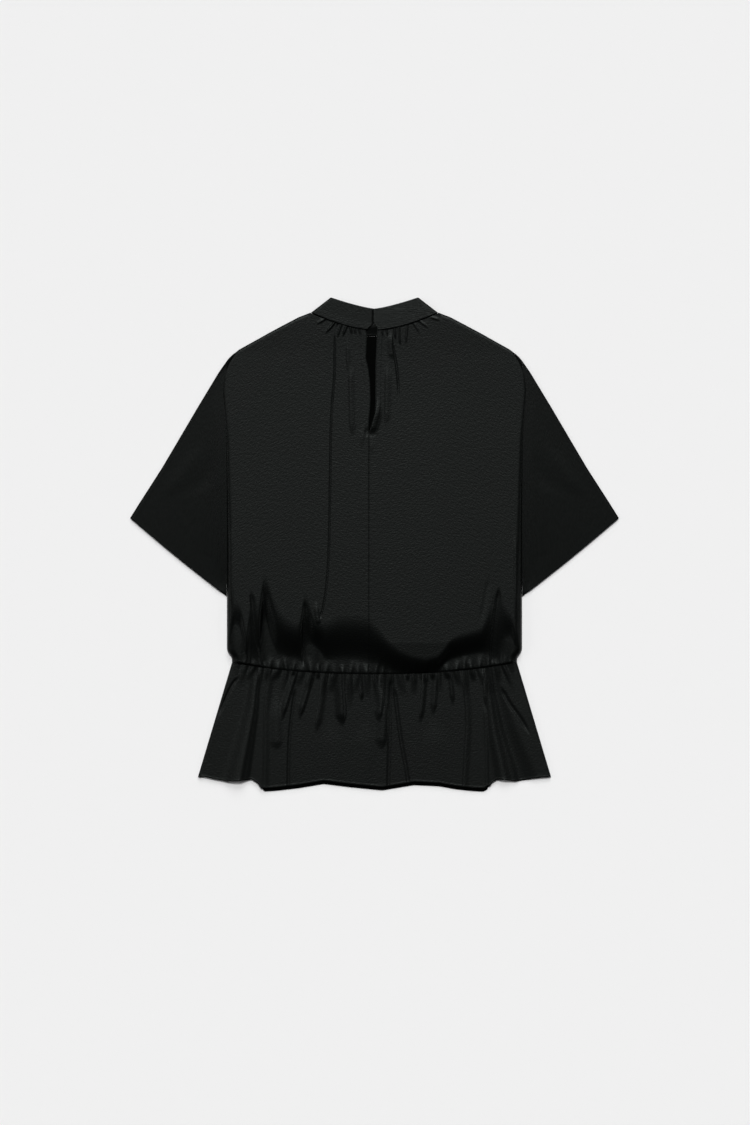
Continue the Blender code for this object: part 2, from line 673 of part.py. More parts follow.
def sleeve(name, side):
    """One wide sleeve: a flat tube, folded along its top edge, open at body and hem."""
    underarm_x = between(BODY_EDGE, UNDERARM_Y) + GAP
    lengths = [0.0]
    for first, second in zip(SLEEVE_TOP, SLEEVE_TOP[1:]):
        lengths.append(lengths[-1] + math.hypot(second.at - first.at, second.value - first.value))
    by_length = [(length, row.at, row.value) for length, row in zip(lengths, SLEEVE_TOP)]

    def along_top(a):
        return Vector((between(by_length, a * lengths[-1], 1),
                       between(by_length, a * lengths[-1], 2)))

    tip = along_top(1.0)
    opening = tip - Vector((underarm_x, UNDERARM_Y))
    outwards = Vector((opening.y, -opening.x)).normalized()
    start = along_top(0.0)

    def plan(a, q, armhole_shift):
        """Place in plan: a from armhole to hem, q from the top fold to the underarm."""
        seam_end = opening.normalized() * UNDERARM_SEAM * a
        low = Vector((underarm_x, UNDERARM_Y)) + seam_end
        straight = along_top(a).lerp(low, q)
        arm_y = mix(start.y, UNDERARM_Y, q)
        arm = Vector((body_edge(arm_y) + GAP + armhole_shift, arm_y))
        arm_bow = arm - start.lerp(Vector((underarm_x, UNDERARM_Y)), q)
        hem_bow = outwards * SLEEVE_OPENING_BOW * math.sin(math.pi * q)
        return straight + arm_bow * (1.0 - a) ** 2 + hem_bow * a

    rings = []
    for k in range(SLEEVE_RINGS + 1):
        a = k / SLEEVE_RINGS
        length = (along_top(a) - Vector((underarm_x, UNDERARM_Y))).length

        def section_point(distance, height, upper):
            q = distance / length
            ends = min(q, 1.0 - q)
            tuck = smooth((ends - SLEEVE_TUCK_SHARE) / SLEEVE_TUCK_SHARE)
            shift = -(SLEEVE_TUCK + GAP) * tuck if upper else 0.0
            flat = plan(a, q, shift)
            return Vector((side * flat.x, flat.y, height))

        def upper_low(distance):
            across = min(distance, length - distance) / length
            lift = smooth(a / SLEEVE_LIFT_ALONG) * smooth(across / SLEEVE_LIFT_ACROSS)
            return ON_FRONT + SLEEVE_OPENING_LIFT * lift

        def fold(distance, inwards):
            """A sleeve's fold: just above, at and just below its middle height."""
            outer = distance + inwards * SLEEVE_ROLL
            inner = distance + inwards * SLEEVE_TURN_INSIDE
            middle = ON_FRONT - GAP / 2
            above = (section_point(outer, ON_FRONT + SLEEVE_TURN_HEIGHT, True),
                     section_point(inner, ON_FRONT, True))
            at = (section_point(distance, middle, False),
                  section_point(distance + inwards * SLEEVE_TURN, middle, False))
            below = (section_point(outer, 0.0, False), section_point(inner, WALL, False))
            return above, at, below

        shares = [(start.y - y) / (start.y - UNDERARM_Y) for y in SLEEVE_STATIONS]
        spots = [SLEEVE_FLAT_FROM] + [length * q for q in shares]
        spots.append(length - SLEEVE_FLAT_FROM)
        above, at, below = fold(0.0, 1)
        ring = [at, above]
        for spot in spots:
            low = upper_low(spot)
            ring.append((section_point(spot, low + WALL, True), section_point(spot, low, True)))
        ring += fold(length, -1)
        for spot in reversed(spots):
            ring.append((section_point(spot, 0.0, False), section_point(spot, WALL, False)))
        rings.append(ring + [below])
    return tube_piece(name, rings, cloth_material(name + "_satin"))


def turned_end(centre_x, centre_z, radius, first_angle):
    """Points of a half turn at one side of a flat band, as (x, z, outward x, outward z)."""
    points = []
    for k in range(ROLL_SEGMENTS + 1):
        angle = first_angle + math.pi * (k / ROLL_SEGMENTS)
        points.append((centre_x + radius * math.cos(angle), centre_z + radius * math.sin(angle),
                       math.cos(angle), math.sin(angle)))
    return points


def collar():
    """The stand collar: one folded strip round the neck that opens at the centre back."""
    upper_z = ON_SLEEVE + WALL / 2
    lower_z = WALL / 2
    radius = (upper_z - lower_z) / 2

    def end_x(s, meet_x, corner_x):
        return mix(corner_x, meet_x, smooth(s / COLLAR_MEET))

    def row(s):
        half = mix(NECK_HALF, COLLAR_TOP_HALF, s)
        turn_x = half - WALL / 2 - radius

        def y_at(x, front_share):
            f = min(abs(x) / half, 1.0)
            back = mix(back_neck_y(f * NECK_HALF),
                       mix(COLLAR_BACK_TOP_Y, COLLAR_PEAK_Y, f ** COLLAR_BACK_POWER), s)
            front = mix(front_neck_y(f * NECK_HALF),
                        mix(COLLAR_FRONT_TOP_Y, COLLAR_PEAK_Y, f ** COLLAR_FRONT_POWER), s)
            return mix(back, front, front_share)

        path = []
        left_end = end_x(s, COLLAR_LEFT_MEET_X, COLLAR_LEFT_CORNER_X)
        for k in range(COLLAR_COLUMNS):
            path.append((mix(left_end, -turn_x, k / COLLAR_COLUMNS), upper_z, 0.0, 1.0))
        path += turned_end(-turn_x, (upper_z + lower_z) / 2, radius, math.pi / 2)
        for k in range(1, 2 * COLLAR_COLUMNS):
            path.append((mix(-turn_x, turn_x, k / COLLAR_COLUMNS / 2), lower_z, 0.0, -1.0))
        path += turned_end(turn_x, (upper_z + lower_z) / 2, radius, -math.pi / 2)
        right_end = end_x(s, COLLAR_RIGHT_MEET_X, COLLAR_RIGHT_CORNER_X)
        for k in range(1, COLLAR_COLUMNS + 1):
            path.append((mix(turn_x, right_end, k / COLLAR_COLUMNS), upper_z, 0.0, 1.0))
        points = []
        for k, (x, z, out_x, out_z) in enumerate(path):
            front_share = smooth((upper_z - z) / (upper_z - lower_z))
            y = y_at(x, front_share)
            out = Vector((x + out_x * WALL / 2, y, z + out_z * WALL / 2))
            back = Vector((x - out_x * WALL / 2, y, z - out_z * WALL / 2))
            points.append((k, out, back))
        return points

    return cloth_piece("collar", [row(s) for s in COLLAR_ROWS])


def waist_elastic():
    """The elastic that draws the waist in, one flat ring inside the waist seam."""
    lower_z = ON_FRONT + ELASTIC_WALL / 2
    upper_z = lower_z + ELASTIC_WALL + GAP
    radius = (upper_z - lower_z) / 2
    turn_x = ELASTIC_HALF - ELASTIC_WALL / 2 - radius
    path = turned_end(-turn_x, (upper_z + lower_z) / 2, radius, math.pi / 2)
    for k in range(1, ELASTIC_COLUMNS):
        path.append((mix(-turn_x, turn_x, k / ELASTIC_COLUMNS), lower_z, 0.0, -1.0))
    path += turned_end(turn_x, (upper_z + lower_z) / 2, radius, -math.pi / 2)
    for k in range(1, ELASTIC_COLUMNS):
        path.append((mix(turn_x, -turn_x, k / ELASTIC_COLUMNS), upper_z, 0.0, 1.0))
    half_wall = ELASTIC_WALL / 2
    rings = []
    for across in (ELASTIC_WIDTH / 2, -ELASTIC_WIDTH / 2):
        ring = []
        for x, z, out_x, out_z in path:
            y = waist_y(x) + across
            ring.append((Vector((x + out_x * half_wall, y, z + out_z * half_wall)),
                         Vector((x - out_x * half_wall, y, z - out_z * half_wall))))
        rings.append(ring)
    material = cloth_material("waist_elastic_rubber", ELASTIC_BLACK, ELASTIC_ROUGHNESS)
    return tube_piece("waist_elastic", rings, material)


def main():
    for leftover in list(bpy.data.objects):
        bpy.data.objects.remove(leftover)
    front_body()
    back_half("bodice_back_left", -1)
    back_half("bodice_back_right", 1)
    sleeve("sleeve_left", -1)
    sleeve("sleeve_right", 1)
    collar()
    waist_elastic()
    peplum_front()
    peplum_back()


main()
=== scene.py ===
import math
from collections import namedtuple

import bpy
import numpy as np
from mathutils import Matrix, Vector


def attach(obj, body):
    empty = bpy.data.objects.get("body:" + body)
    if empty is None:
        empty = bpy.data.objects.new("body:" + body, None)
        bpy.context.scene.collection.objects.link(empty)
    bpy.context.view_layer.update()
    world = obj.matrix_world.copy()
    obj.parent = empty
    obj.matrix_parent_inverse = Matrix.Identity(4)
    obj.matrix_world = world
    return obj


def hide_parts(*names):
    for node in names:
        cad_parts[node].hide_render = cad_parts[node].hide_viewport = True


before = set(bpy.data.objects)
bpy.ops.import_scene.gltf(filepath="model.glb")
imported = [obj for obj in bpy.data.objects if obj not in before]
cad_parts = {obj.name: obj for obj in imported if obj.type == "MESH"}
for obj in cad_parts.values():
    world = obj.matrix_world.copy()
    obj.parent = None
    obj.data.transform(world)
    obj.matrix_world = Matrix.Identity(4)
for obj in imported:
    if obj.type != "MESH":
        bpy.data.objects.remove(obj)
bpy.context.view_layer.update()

# Black satin blouse, laid flat with its back upwards. X runs across it, Y from its hem to
# its neck, Z up from the floor. Left and right are those of someone who looks down on it.
MM = 0.001

# The photograph's scale, and the pixel of it where the blouse's origin lies.
PHOTO_STEP = 1.32 * MM
PHOTO_X = 374.5
PHOTO_Y = 544.5
PHOTO_WIDTH = 750
PHOTO_HEIGHT = 1125

CLOTH = 0.5 * MM
NECK_HALF = 84 * MM
NECK_SIDE_Y = 306 * MM
BACK_NECK_Y = 282.5 * MM
FRONT_NECK_Y = 275 * MM
COLLAR_TOP_HALF = 58 * MM
COLLAR_PEAK_Y = 326 * MM
COLLAR_BACK_TOP_Y = 311 * MM
COLLAR_FRONT_TOP_Y = 304 * MM
COLLAR_MEET = 0.45
COLLAR_END_TUCK = 1.5 * MM
COLLAR_FRONT_TILT = 2.0 * MM
NECK_TUCK = 2.5 * MM

UNDERARM_Y = -69 * MM
UNDERARM_SEAM = 10 * MM
SLEEVE_TUCK = 3 * MM
WAIST_HALF = 188 * MM
WAIST_MIDDLE_Y = -171 * MM
WAIST_SIDE_RISE = 15.5 * MM
SLIT_END_Y = 148.5 * MM
HEM_HALF = 233 * MM
FRONT_HEM_SHOWS = 4.5 * MM
FRONT_SHOWS = (-150 * MM, 153 * MM)

# Heights of the cloth's upper face over the floor.
FRONT_TOP = 0.65 * MM
SIDE_EDGE_TOP = 1.45 * MM
ARMHOLE_EDGE_TOP = 3.4 * MM
NECK_EDGE_TOP = 3.5 * MM
BODY_TOP = 3.5 * MM
WAIST_SEAM_TOP = 2.7 * MM
PEPLUM_TOP = 4.2 * MM
PEPLUM_HEM_TOP = 4.0 * MM
BLOUSE_RISE = 9.5 * MM

# The blousing: where the back starts to rise, over what length and how it gathers pace, and
# the blur of its drape.
RISE_TOP_Y = 260 * MM
RISE_LENGTH = 390 * MM
RISE_POWER = 1.45
DRAPE_BLUR = 4 * MM
DRAPE_LIFT = 5 * MM
DRAPE_POWER = 1.3

Station = namedtuple("Station", "at value")
SlitEdge = namedtuple("SlitEdge", "y left_x right_x")
Drape = namedtuple("Drape", "x crest_y foot_y drop")
Puff = namedtuple("Puff", "x height")
Crease = namedtuple("Crease", "left right height fade_in fade_out path spread",
                    defaults=(0.0,))

# Half width of the body at each y, from the waist up the side seam and the armhole, in mm.
BODY_EDGE = (
    Station(-171, 188.0), Station(-151, 188.0), Station(-147, 189.6), Station(-143, 193.0),
    Station(-138, 194.7), Station(-69, 194.7), Station(37, 194.5), Station(139, 195.5),
    Station(180, 198.5), Station(202, 200.0), Station(222, 198.0), Station(238, 194.0),
    Station(252, 185.0),
)

# Height of the shoulder seam at each distance from the middle, in mm.
SHOULDER = (Station(84, 306), Station(100, 300), Station(140, 279), Station(179, 257),
            Station(185, 252))

# Fold along the top of a sleeve, from the shoulder to the tip, in mm.
SLEEVE_TOP = (Station(185.3, 252.3), Station(189, 249), Station(193, 245),
              Station(205, 228), Station(234, 180), Station(280.5, 101),
              Station(311, 53.5), Station(322.5, 35))

# Edges of the opening at the centre back, and the centre seam below it, in mm.
SLIT = (
    SlitEdge(-171, -7.3, -7.3), SlitEdge(148.5, -7.3, -7.1), SlitEdge(153.4, -7.5, -5.4),
    SlitEdge(164.3, -6.9, -3.2), SlitEdge(172, -6.2, -0.9), SlitEdge(179.8, -5.4, 0.4),
    SlitEdge(190.7, -4.9, 1.1), SlitEdge(211.6, -5.4, 1.2), SlitEdge(224.8, -6.9, 1.2),
    SlitEdge(234.7, -8.4, 1.2), SlitEdge(244.6, -10.9, 1.5), SlitEdge(261, -10.2, 2.3),
    SlitEdge(274.3, -9.4, 2.9), SlitEdge(285.4, -11.5, 3.7), SlitEdge(290, -12.0, 4.4),
)

# Lower outline of the peplum in mm: y at each x.
HEM = (
    Station(-233, -306.5), Station(-224, -306.5), Station(-209, -310.0),
    Station(-194, -312.5), Station(-178, -312.0), Station(-162, -309.5),
    Station(-154, -315.0), Station(-150, -321.5), Station(-146, -326.0),
    Station(-130, -325.0), Station(-100, -321.5), Station(-67, -316.0),
    Station(-35, -320.0), Station(10, -324.5), Station(52, -317.5), Station(85, -319.0),
    Station(107, -323.0), Station(130, -325.5), Station(145, -326.0),
    Station(151, -321.0), Station(155, -314.0), Station(162, -309.5),
    Station(186, -312.5), Station(218, -307.5), Station(233, -306.5),
)

# The loose cloth above the waist, read from the photograph in its pixels: where it starts
# to fall and where it has fallen, and the share of its height that it falls by.
DRAPE = (
    Drape(227, 640, 668, 0.25), Drape(234, 604, 624, 0.35), Drape(241, 606, 628, 0.35),
    Drape(247, 640, 664, 0.5), Drape(251, 596, 660, 0.8), Drape(256, 606, 664, 0.8),
    Drape(260, 600, 662, 0.8), Drape(264, 572, 616, 0.95), Drape(268, 580, 628, 1.0),
    Drape(272, 594, 642, 1.0), Drape(277, 608, 655, 1.0), Drape(285, 619, 658, 1.0),
    Drape(297, 626, 659, 1.0), Drape(301, 620, 662, 1.0), Drape(305, 588, 650, 1.0),
    Drape(309, 602, 644, 0.95), Drape(314, 622, 646, 0.9), Drape(320, 624, 652, 1.0),
    Drape(326, 624, 661, 1.0), Drape(340, 617, 660, 1.0), Drape(356, 617, 660, 1.0),
    Drape(368, 618, 662, 1.0), Drape(378, 628, 668, 1.0), Drape(388, 642, 672, 1.0),
    Drape(399, 652, 674, 1.0), Drape(412, 658, 676, 1.0), Drape(426, 661, 676, 1.0),
    Drape(438, 658, 672, 1.0), Drape(444, 652, 664, 1.0), Drape(450, 642, 660, 0.95),
    Drape(457, 638, 658, 0.9), Drape(470, 634, 655, 0.9), Drape(482, 630, 653, 0.9),
    Drape(488, 614, 656, 0.8), Drape(493, 594, 664, 0.9), Drape(499, 586, 662, 0.9),
    Drape(504, 606, 640, 0.6), Drape(511, 616, 636, 0.4), Drape(519, 640, 660, 0.3),
)

# Puffs of the gathers right above the waist seam: height at each pixel of the seam.
PUFFS = (
    Puff(230, 0.5), Puff(240, 0.8), Puff(250, 0.5), Puff(262, 0.9), Puff(275, 1.3),
    Puff(290, 1.1), Puff(301, 0.6), Puff(314, 1.3), Puff(328, 0.9), Puff(334, 0.5),
    Puff(344, 1.3), Puff(352, 0.7), Puff(362, 1.3), Puff(380, 1.2), Puff(392, 0.7),
    Puff(404, 0.4), Puff(418, 0.9), Puff(430, 0.3), Puff(440, 0.9), Puff(460, 1.3),
    Puff(480, 1.2), Puff(492, 0.6), Puff(503, 1.1), Puff(515, 0.6),
)

WAIST_GATHERS = 35

# Creases of the back. Half widths to the left and right, height and fades are in mm, the
# path runs down the photograph in its pixels, and spread is the share of its size that a
# flute gains on the way.
BACK_CREASES = (
    # the long fold left of the centre seam, a groove with a lip on its right
    Crease(1.5, 2.2, -0.75, 20, 6, ((334.6, 331), (334.6, 370), (333, 393), (331, 422),
                                    (330, 483), (329.4, 525), (328, 567), (324.5, 600),
                                    (320, 619))),
    Crease(4.5, 5.0, 0.7, 14, 6, ((316, 600), (317, 614), (319, 625))),
    # the short fold right of the opening
    Crease(3.0, 1.6, -0.7, 10, 30, ((392.2, 341), (394.4, 353), (396.8, 367),
                                    (398.4, 384), (399, 404))),
    Crease(9.0, 2.4, 0.7, 14, 7, ((391.0, 330), (392.2, 345), (393.8, 359))),
    # soft bands beside the opening
    Crease(2.0, 6.0, 0.45, 26, 16, ((346.4, 334), (347.2, 353), (347.6, 374))),
    Crease(3.2, 8.0, 0.55, 20, 14, ((350, 362), (350.4, 400), (351.5, 436))),
    Crease(4.0, 8.0, 0.55, 22, 16, ((387, 362), (386.4, 395), (386, 426))),
    # puckers where the opening ends
    Crease(2.0, 12.0, 1.5, 26, 4, ((377, 396), (376.5, 405), (375.4, 413),
                                   (372.6, 422), (370.4, 432))),
    Crease(1.4, 2.4, -0.7, 2, 2, ((364.5, 431.8), (370, 431.8), (376.5, 431.2))),
    Crease(5, 5, 0.25, 14, 8, ((362, 425), (362.5, 436), (361, 446))),
    Crease(4.5, 4.5, 0.2, 10, 8, ((372, 438), (371.5, 446), (370, 454))),
    # flames of shade above the waist
    Crease(2.0, 7.0, -1.1, 16, 10, ((250.5, 590), (254, 622), (258.6, 648), (264, 668))),
    Crease(3.0, 4.0, -1.0, 12, 12, ((305.4, 600), (303.6, 640), (303, 668))),
    Crease(2.2, 3.0, 0.30, 12, 12, ((494.4, 600), (491, 622), (488.6, 644))),
    Crease(2.4, 6.0, -1.2, 16, 10, ((499, 586), (494.8, 612), (492.0, 640), (490.6, 666))),
    Crease(5.0, 5.0, -0.22, 18, 18, ((490, 574), (484.5, 600), (480, 626))),
    Crease(6.0, 3.0, 0.5, 30, 18, ((232, 520), (231, 610))),
    Crease(3.0, 6.0, 0.5, 30, 18, ((514.5, 530), (515.5, 610))),
)

# Short dark gathers under the collar, as read from the photograph.
NECK_CREASES = (
    Crease(2.8, 1.7, 0.8, 1, 9, ((333, 313.5), (323, 320.4), (315.4, 324.4))),
    Crease(1.6, 1.5, 0.5, 1, 6, ((329, 313.5), (318, 316.6))),
    Crease(3.2, 1.9, 1.0, 1, 10, ((337, 319.0), (330.6, 327.6), (324.0, 334))),
    Crease(1.8, 1.4, 0.7, 1, 7, ((341, 319.0), (334.8, 327))),
    Crease(2.2, 1.5, 0.8, 1, 9, ((343.4, 320), (339.4, 330), (337.4, 339))),
    Crease(2.6, 1.8, 1.0, 1, 10, ((348.8, 321), (345.0, 330), (342.2, 338))),
    Crease(2.0, 1.6, 0.8, 1, 8, ((349.4, 322), (350.8, 328), (352.0, 336))),
    Crease(1.8, 1.4, 0.6, 1, 7, ((353.6, 323), (354.8, 329), (356.2, 335.6))),
    Crease(1.8, 1.5, 0.6, 1, 7, ((358.0, 324), (359.4, 330), (361.0, 336))),
    Crease(1.8, 1.5, 0.6, 1, 8, ((381.6, 324), (382.2, 330), (383.2, 338))),
    Crease(1.8, 1.4, 0.6, 1, 8, ((386.2, 324), (386.8, 330), (388.2, 338))),
    Crease(2.4, 1.6, 0.8, 1, 9, ((394.4, 323), (394.8, 330), (395.8, 341))),
    Crease(2.0, 1.7, 0.9, 1, 9, ((399.0, 323), (399.2, 332), (400.4, 346))),
    Crease(1.5, 1.9, 0.6, 1, 9, ((407.6, 322), (406.4, 332), (405.6, 345))),
    Crease(1.5, 2.4, 0.5, 1, 10, ((412, 321), (416, 327), (420.4, 334.6))),
    Crease(2.4, 1.5, 0.6, 1, 9, ((416, 318.5), (422, 323), (429.5, 329))),
    Crease(2.2, 1.6, 0.6, 1, 9, ((420, 315.6), (432, 317.6), (442, 321.8))),
    Crease(2.0, 1.5, 0.4, 1, 10, ((428, 310.6), (445, 315.4))),
)

# Flutes and creases of the back peplum, in the same columns.
PEPLUM_CREASES = (
    Crease(3, 3, -0.9, 10, 24, ((240, 676), (233, 684), (225, 700), (216, 722))),
    Crease(26, 17, 5.0, 1, 4, ((256, 672), (254, 700), (249, 730), (242, 765),
                               (237, 792)), 0.75),
    Crease(2.0, 9, 1.0, 1, 2, ((271.5, 668), (267, 690), (265.2, 720), (264.3, 760),
                               (263.5, 800))),
    Crease(12, 10, 0.9, 40, 12, ((276, 690), (276.5, 725), (277, 750))),
    Crease(2.2, 3.4, -0.9, 14, 3, ((296, 686), (293, 704), (289.5, 735), (288.3, 765),
                                 (288, 800))),
    Crease(8, 3.4, 1.4, 1, 22, ((297, 670), (290, 692), (281, 722))),
    Crease(8, 3.4, 1.5, 1, 20, ((313, 672), (307, 694), (299, 720))),
    Crease(2.4, 9, 1.2, 1, 22, ((323, 672), (321, 694), (318, 714), (315, 734))),
    Crease(12, 6, 2.3, 1, 18, ((340, 674), (342, 698), (343, 726))),
    Crease(3, 4, 1.3, 1, 12, ((360.5, 672), (361, 684), (361.5, 702))),
    Crease(9, 4, 1.4, 1, 14, ((385, 674), (382, 698), (379, 722))),
    Crease(3.5, 3, -1.1, 10, 3, ((391, 678), (390, 700), (389.5, 740), (388.5, 780),
                                 (388, 800))),
    Crease(3, 4, -0.9, 14, 14, ((394, 686), (396, 704), (400.5, 738), (406.5, 772),
                                (409, 790))),
    Crease(13, 7, 1.3, 34, 16, ((383, 690), (384, 720), (382, 750))),
    Crease(3, 6, 1.3, 1, 18, ((424, 674), (422, 700), (419, 724))),
    Crease(8, 3.4, 1.2, 1, 18, ((436, 674), (435, 698), (433, 716))),
    Crease(4, 4, 1.1, 1, 16, ((450, 674), (452, 694), (453, 706))),
    Crease(2.0, 9, 0.9, 1, 4, ((463, 672), (465, 695), (466.3, 724), (464.5, 755),
                                (463, 790))),
    Crease(4, 3, 1.0, 1, 16, ((485.2, 670), (485.6, 690), (486, 708))),
    Crease(4, 3, 0.6, 20, 2, ((484, 700), (486.5, 740), (487, 779), (488, 800))),
    Crease(16, 14, 2.6, 1, 3, ((487, 680), (490, 704), (494, 732), (501, 765),
                               (507, 795)), 0.7),
    Crease(12, 26, -2.4, 1, 4, ((492, 676), (499, 704), (506, 732), (517, 765),
                                (524, 790)), 0.8),
    Crease(3, 5, -0.9, 12, 24, ((500, 686), (508, 702), (518, 716), (532, 738))),
    Crease(16, 16, 0.35, 40, 20, ((330, 715), (334, 800))),
    Crease(18, 18, 0.35, 40, 20, ((366, 715), (362, 800))),
    Crease(20, 20, 0.4, 40, 20, ((434, 715), (436, 800))),
)

# Soft shade of the sleeves; the right one mirrors it with its own share.
SLEEVE_CREASES = (
    Crease(18, 18, -0.30, 60, 60, ((214, 440), (206, 478), (176, 498))),
    Crease(16, 16, 0.24, 40, 40, ((206, 440), (182, 476), (158, 500))),
    Crease(14, 14, -0.22, 30, 30, ((216, 560), (196, 552))),
)


def mix(a, b, t):
    return a + (b - a) * t


def smooth(t):
    t = np.clip(t, 0.0, 1.0)
    return t * t * (3.0 - 2.0 * t)


def rounded(t):
    """The height of a rolled edge: steep at its rim and level once past it."""
    return np.sqrt(1.0 - (1.0 - np.clip(t, 0.0, 1.0)) ** 2)


def photo_x(px):
    return (np.asarray(px) - PHOTO_X) * PHOTO_STEP


def photo_y(py):
    return (PHOTO_Y - np.asarray(py)) * PHOTO_STEP


def table(rows, at, column=1, blur=0.0, unit=MM):
    """A column of a table at places given in metres, blurred so that no corner shows."""
    places = [row[0] * unit for row in rows]
    values = [row[column] * unit for row in rows]
    if not blur:
        return np.interp(at, places, values)
    shifts = np.linspace(-1.0, 1.0, 9)
    weights = 1.0 + np.cos(shifts * math.pi)
    total = sum(w * np.interp(at + s * blur, places, values)
                for s, w in zip(shifts, weights))
    return total / weights.sum()


def photo_table(rows, at, column, blur):
    """The same for a table whose places and values are pixels of the photograph."""
    places = photo_x([row.x for row in rows])
    values = np.array([row[column] for row in rows], float)
    shifts = np.linspace(-1.0, 1.0, 9)
    weights = 1.0 + np.cos(shifts * math.pi)
    total = sum(w * np.interp(at + s * blur, places, values)
                for s, w in zip(shifts, weights))
    return total / weights.sum()


def body_edge(y):
    return table(BODY_EDGE, y, blur=2 * MM)


def waist_y(x):
    return WAIST_MIDDLE_Y + WAIST_SIDE_RISE * (np.abs(x) / WAIST_HALF) ** 2.4


def neck_y(x, middle_y, power):
    return mix(middle_y, NECK_SIDE_Y, np.minimum(np.abs(x) / NECK_HALF, 1.0) ** power)


def back_neck_y(x):
    return neck_y(x, BACK_NECK_Y, 1.7)


def front_neck_y(x):
    return neck_y(x, FRONT_NECK_Y, 1.9)


def shoulder_y(x):
    return table(SHOULDER, np.abs(x), blur=3 * MM)


def back_top_y(x):
    """Top edge of the back, tucked under the collar but for its two ends."""
    tuck = mix(NECK_TUCK, -0.8 * MM, smooth((np.abs(x) - 64 * MM) / (10 * MM)))
    return np.where(np.abs(x) > NECK_HALF, shoulder_y(x), back_neck_y(x) + tuck)


def front_top_y(x):
    return np.where(np.abs(x) > NECK_HALF, shoulder_y(x), front_neck_y(x) - 0.5 * MM)


def spline(points, steps=5):
    """A smooth line through a few points."""
    pts = np.array(points, float)
    if len(pts) < 3:
        return pts
    ends = np.vstack([2 * pts[0] - pts[1], pts, 2 * pts[-1] - pts[-2]])
    line = []
    for p0, p1, p2, p3 in zip(ends, ends[1:], ends[2:], ends[3:]):
        for t in np.arange(steps) / steps:
            line.append(0.5 * (2 * p1 + (p2 - p0) * t + (2 * p0 - 5 * p1 + 4 * p2 - p3) * t ** 2
                               + (3 * p1 - p0 - 3 * p2 + p3) * t ** 3))
    line.append(pts[-1])
    return np.array(line)


def crease_relief(creases, x, y, mirror=1.0):
    """Sum of the creases' heights at each point."""
    total = np.zeros_like(x)
    for crease in creases:
        path = list(crease.path)
        if crease.fade_in <= 1:
            path[0] = tuple(first + 0.6 * (first - second) for first, second in zip(*path[:2]))
        line = spline([(mirror * photo_x(px), photo_y(py)) for px, py in path])
        left, right = crease.left * MM, crease.right * MM
        reach = max(left, right)
        low, high = line.min(axis=0) - reach, line.max(axis=0) + reach
        near = (x > low[0]) & (x < high[0]) & (y > low[1]) & (y < high[1])
        if not near.any():
            continue
        px, py = x[near], y[near]
        best = np.full(px.shape, 1.0)
        side = np.zeros(px.shape)
        along = np.zeros(px.shape)
        upright = abs(line[-1][1] - line[0][1]) >= abs(line[-1][0] - line[0][0])
        done = 0.0
        for a, b in zip(line, line[1:]):
            step = b - a
            length = math.hypot(*step)
            if length == 0.0:
                continue
            t = np.clip(((px - a[0]) * step[0] + (py - a[1]) * step[1]) / length ** 2, 0, 1)
            nx, ny = a[0] + step[0] * t, a[1] + step[1] * t
            distance = np.hypot(px - nx, py - ny)
            closer = distance < best
            best = np.where(closer, distance, best)
            side = np.where(closer, (px - nx) if upright else (ny - py), side)
            along = np.where(closer, done + length * t, along)
            done += length
        fade_in = max(crease.fade_in * MM, 1e-6)
        fade_out = max(crease.fade_out * MM, 1e-6)
        fade = smooth(along / fade_in) * smooth((done - along) / fade_out)
        grown = mix(1.0 - crease.spread, 1.0, along / done)
        width = np.where(side * mirror < 0, left, right) * grown * mix(0.4, 1.0, fade)
        across = np.cos(np.minimum(best / width, 1.0) * math.pi / 2) ** 2
        total[near] += crease.height * MM * across * fade * grown
    return total


def gather_crests(first_x, last_x, count):
    """Crests of a row of uneven gathers."""
    steps = [1.0 + 0.24 * math.sin(1.7 * k) + 0.14 * math.sin(4.1 * k + 1.0)
             for k in range(count)]
    scale = (last_x - first_x) / sum(steps)
    crests = [first_x]
    for step in steps:
        crests.append(crests[-1] + step * scale)
    return crests


WAIST_CRESTS = gather_crests(-WAIST_HALF, WAIST_HALF, WAIST_GATHERS)


def waist_gathers(x, distance, up):
    """Ridges of the gathers on one side of the waist seam, each of its own length."""
    total = np.zeros_like(x)
    for k, (first, second) in enumerate(zip(WAIST_CRESTS, WAIST_CRESTS[1:])):
        middle = (first + second) / 2.0
        if abs(middle) > 183 * MM:
            continue
        if up:
            puff = float(photo_table(PUFFS, np.array(middle), 1, 1 * MM))
            length = (14.0 + 5.0 * math.sin(2.3 * k) + 5.0 * puff) * MM
            height = mix(0.7, 1.35 * puff, 0.7) * MM
            lean = 0.22 * math.sin(1.9 * k)
        else:
            length = (26.0 + 12.0 * math.sin(2.3 * k + 0.7) + 9.0 * math.sin(5.9 * k + 1.3)) * MM
            height = (1.45 + 0.45 * math.sin(3.7 * k + 0.7)) * MM
            lean = 0.15 * math.sin(1.9 * k + 1.4) + 0.34 * middle / WAIST_HALF
        centre = middle + lean * distance
        width = (second - first) * 0.52 * (1.0 + 9.0 * np.maximum(distance, 0.0))
        across = np.cos(np.minimum(np.abs(x - centre) / width, 1.0) * math.pi / 2) ** 2
        total += height * across * (1.0 - smooth(distance / length))
    return total


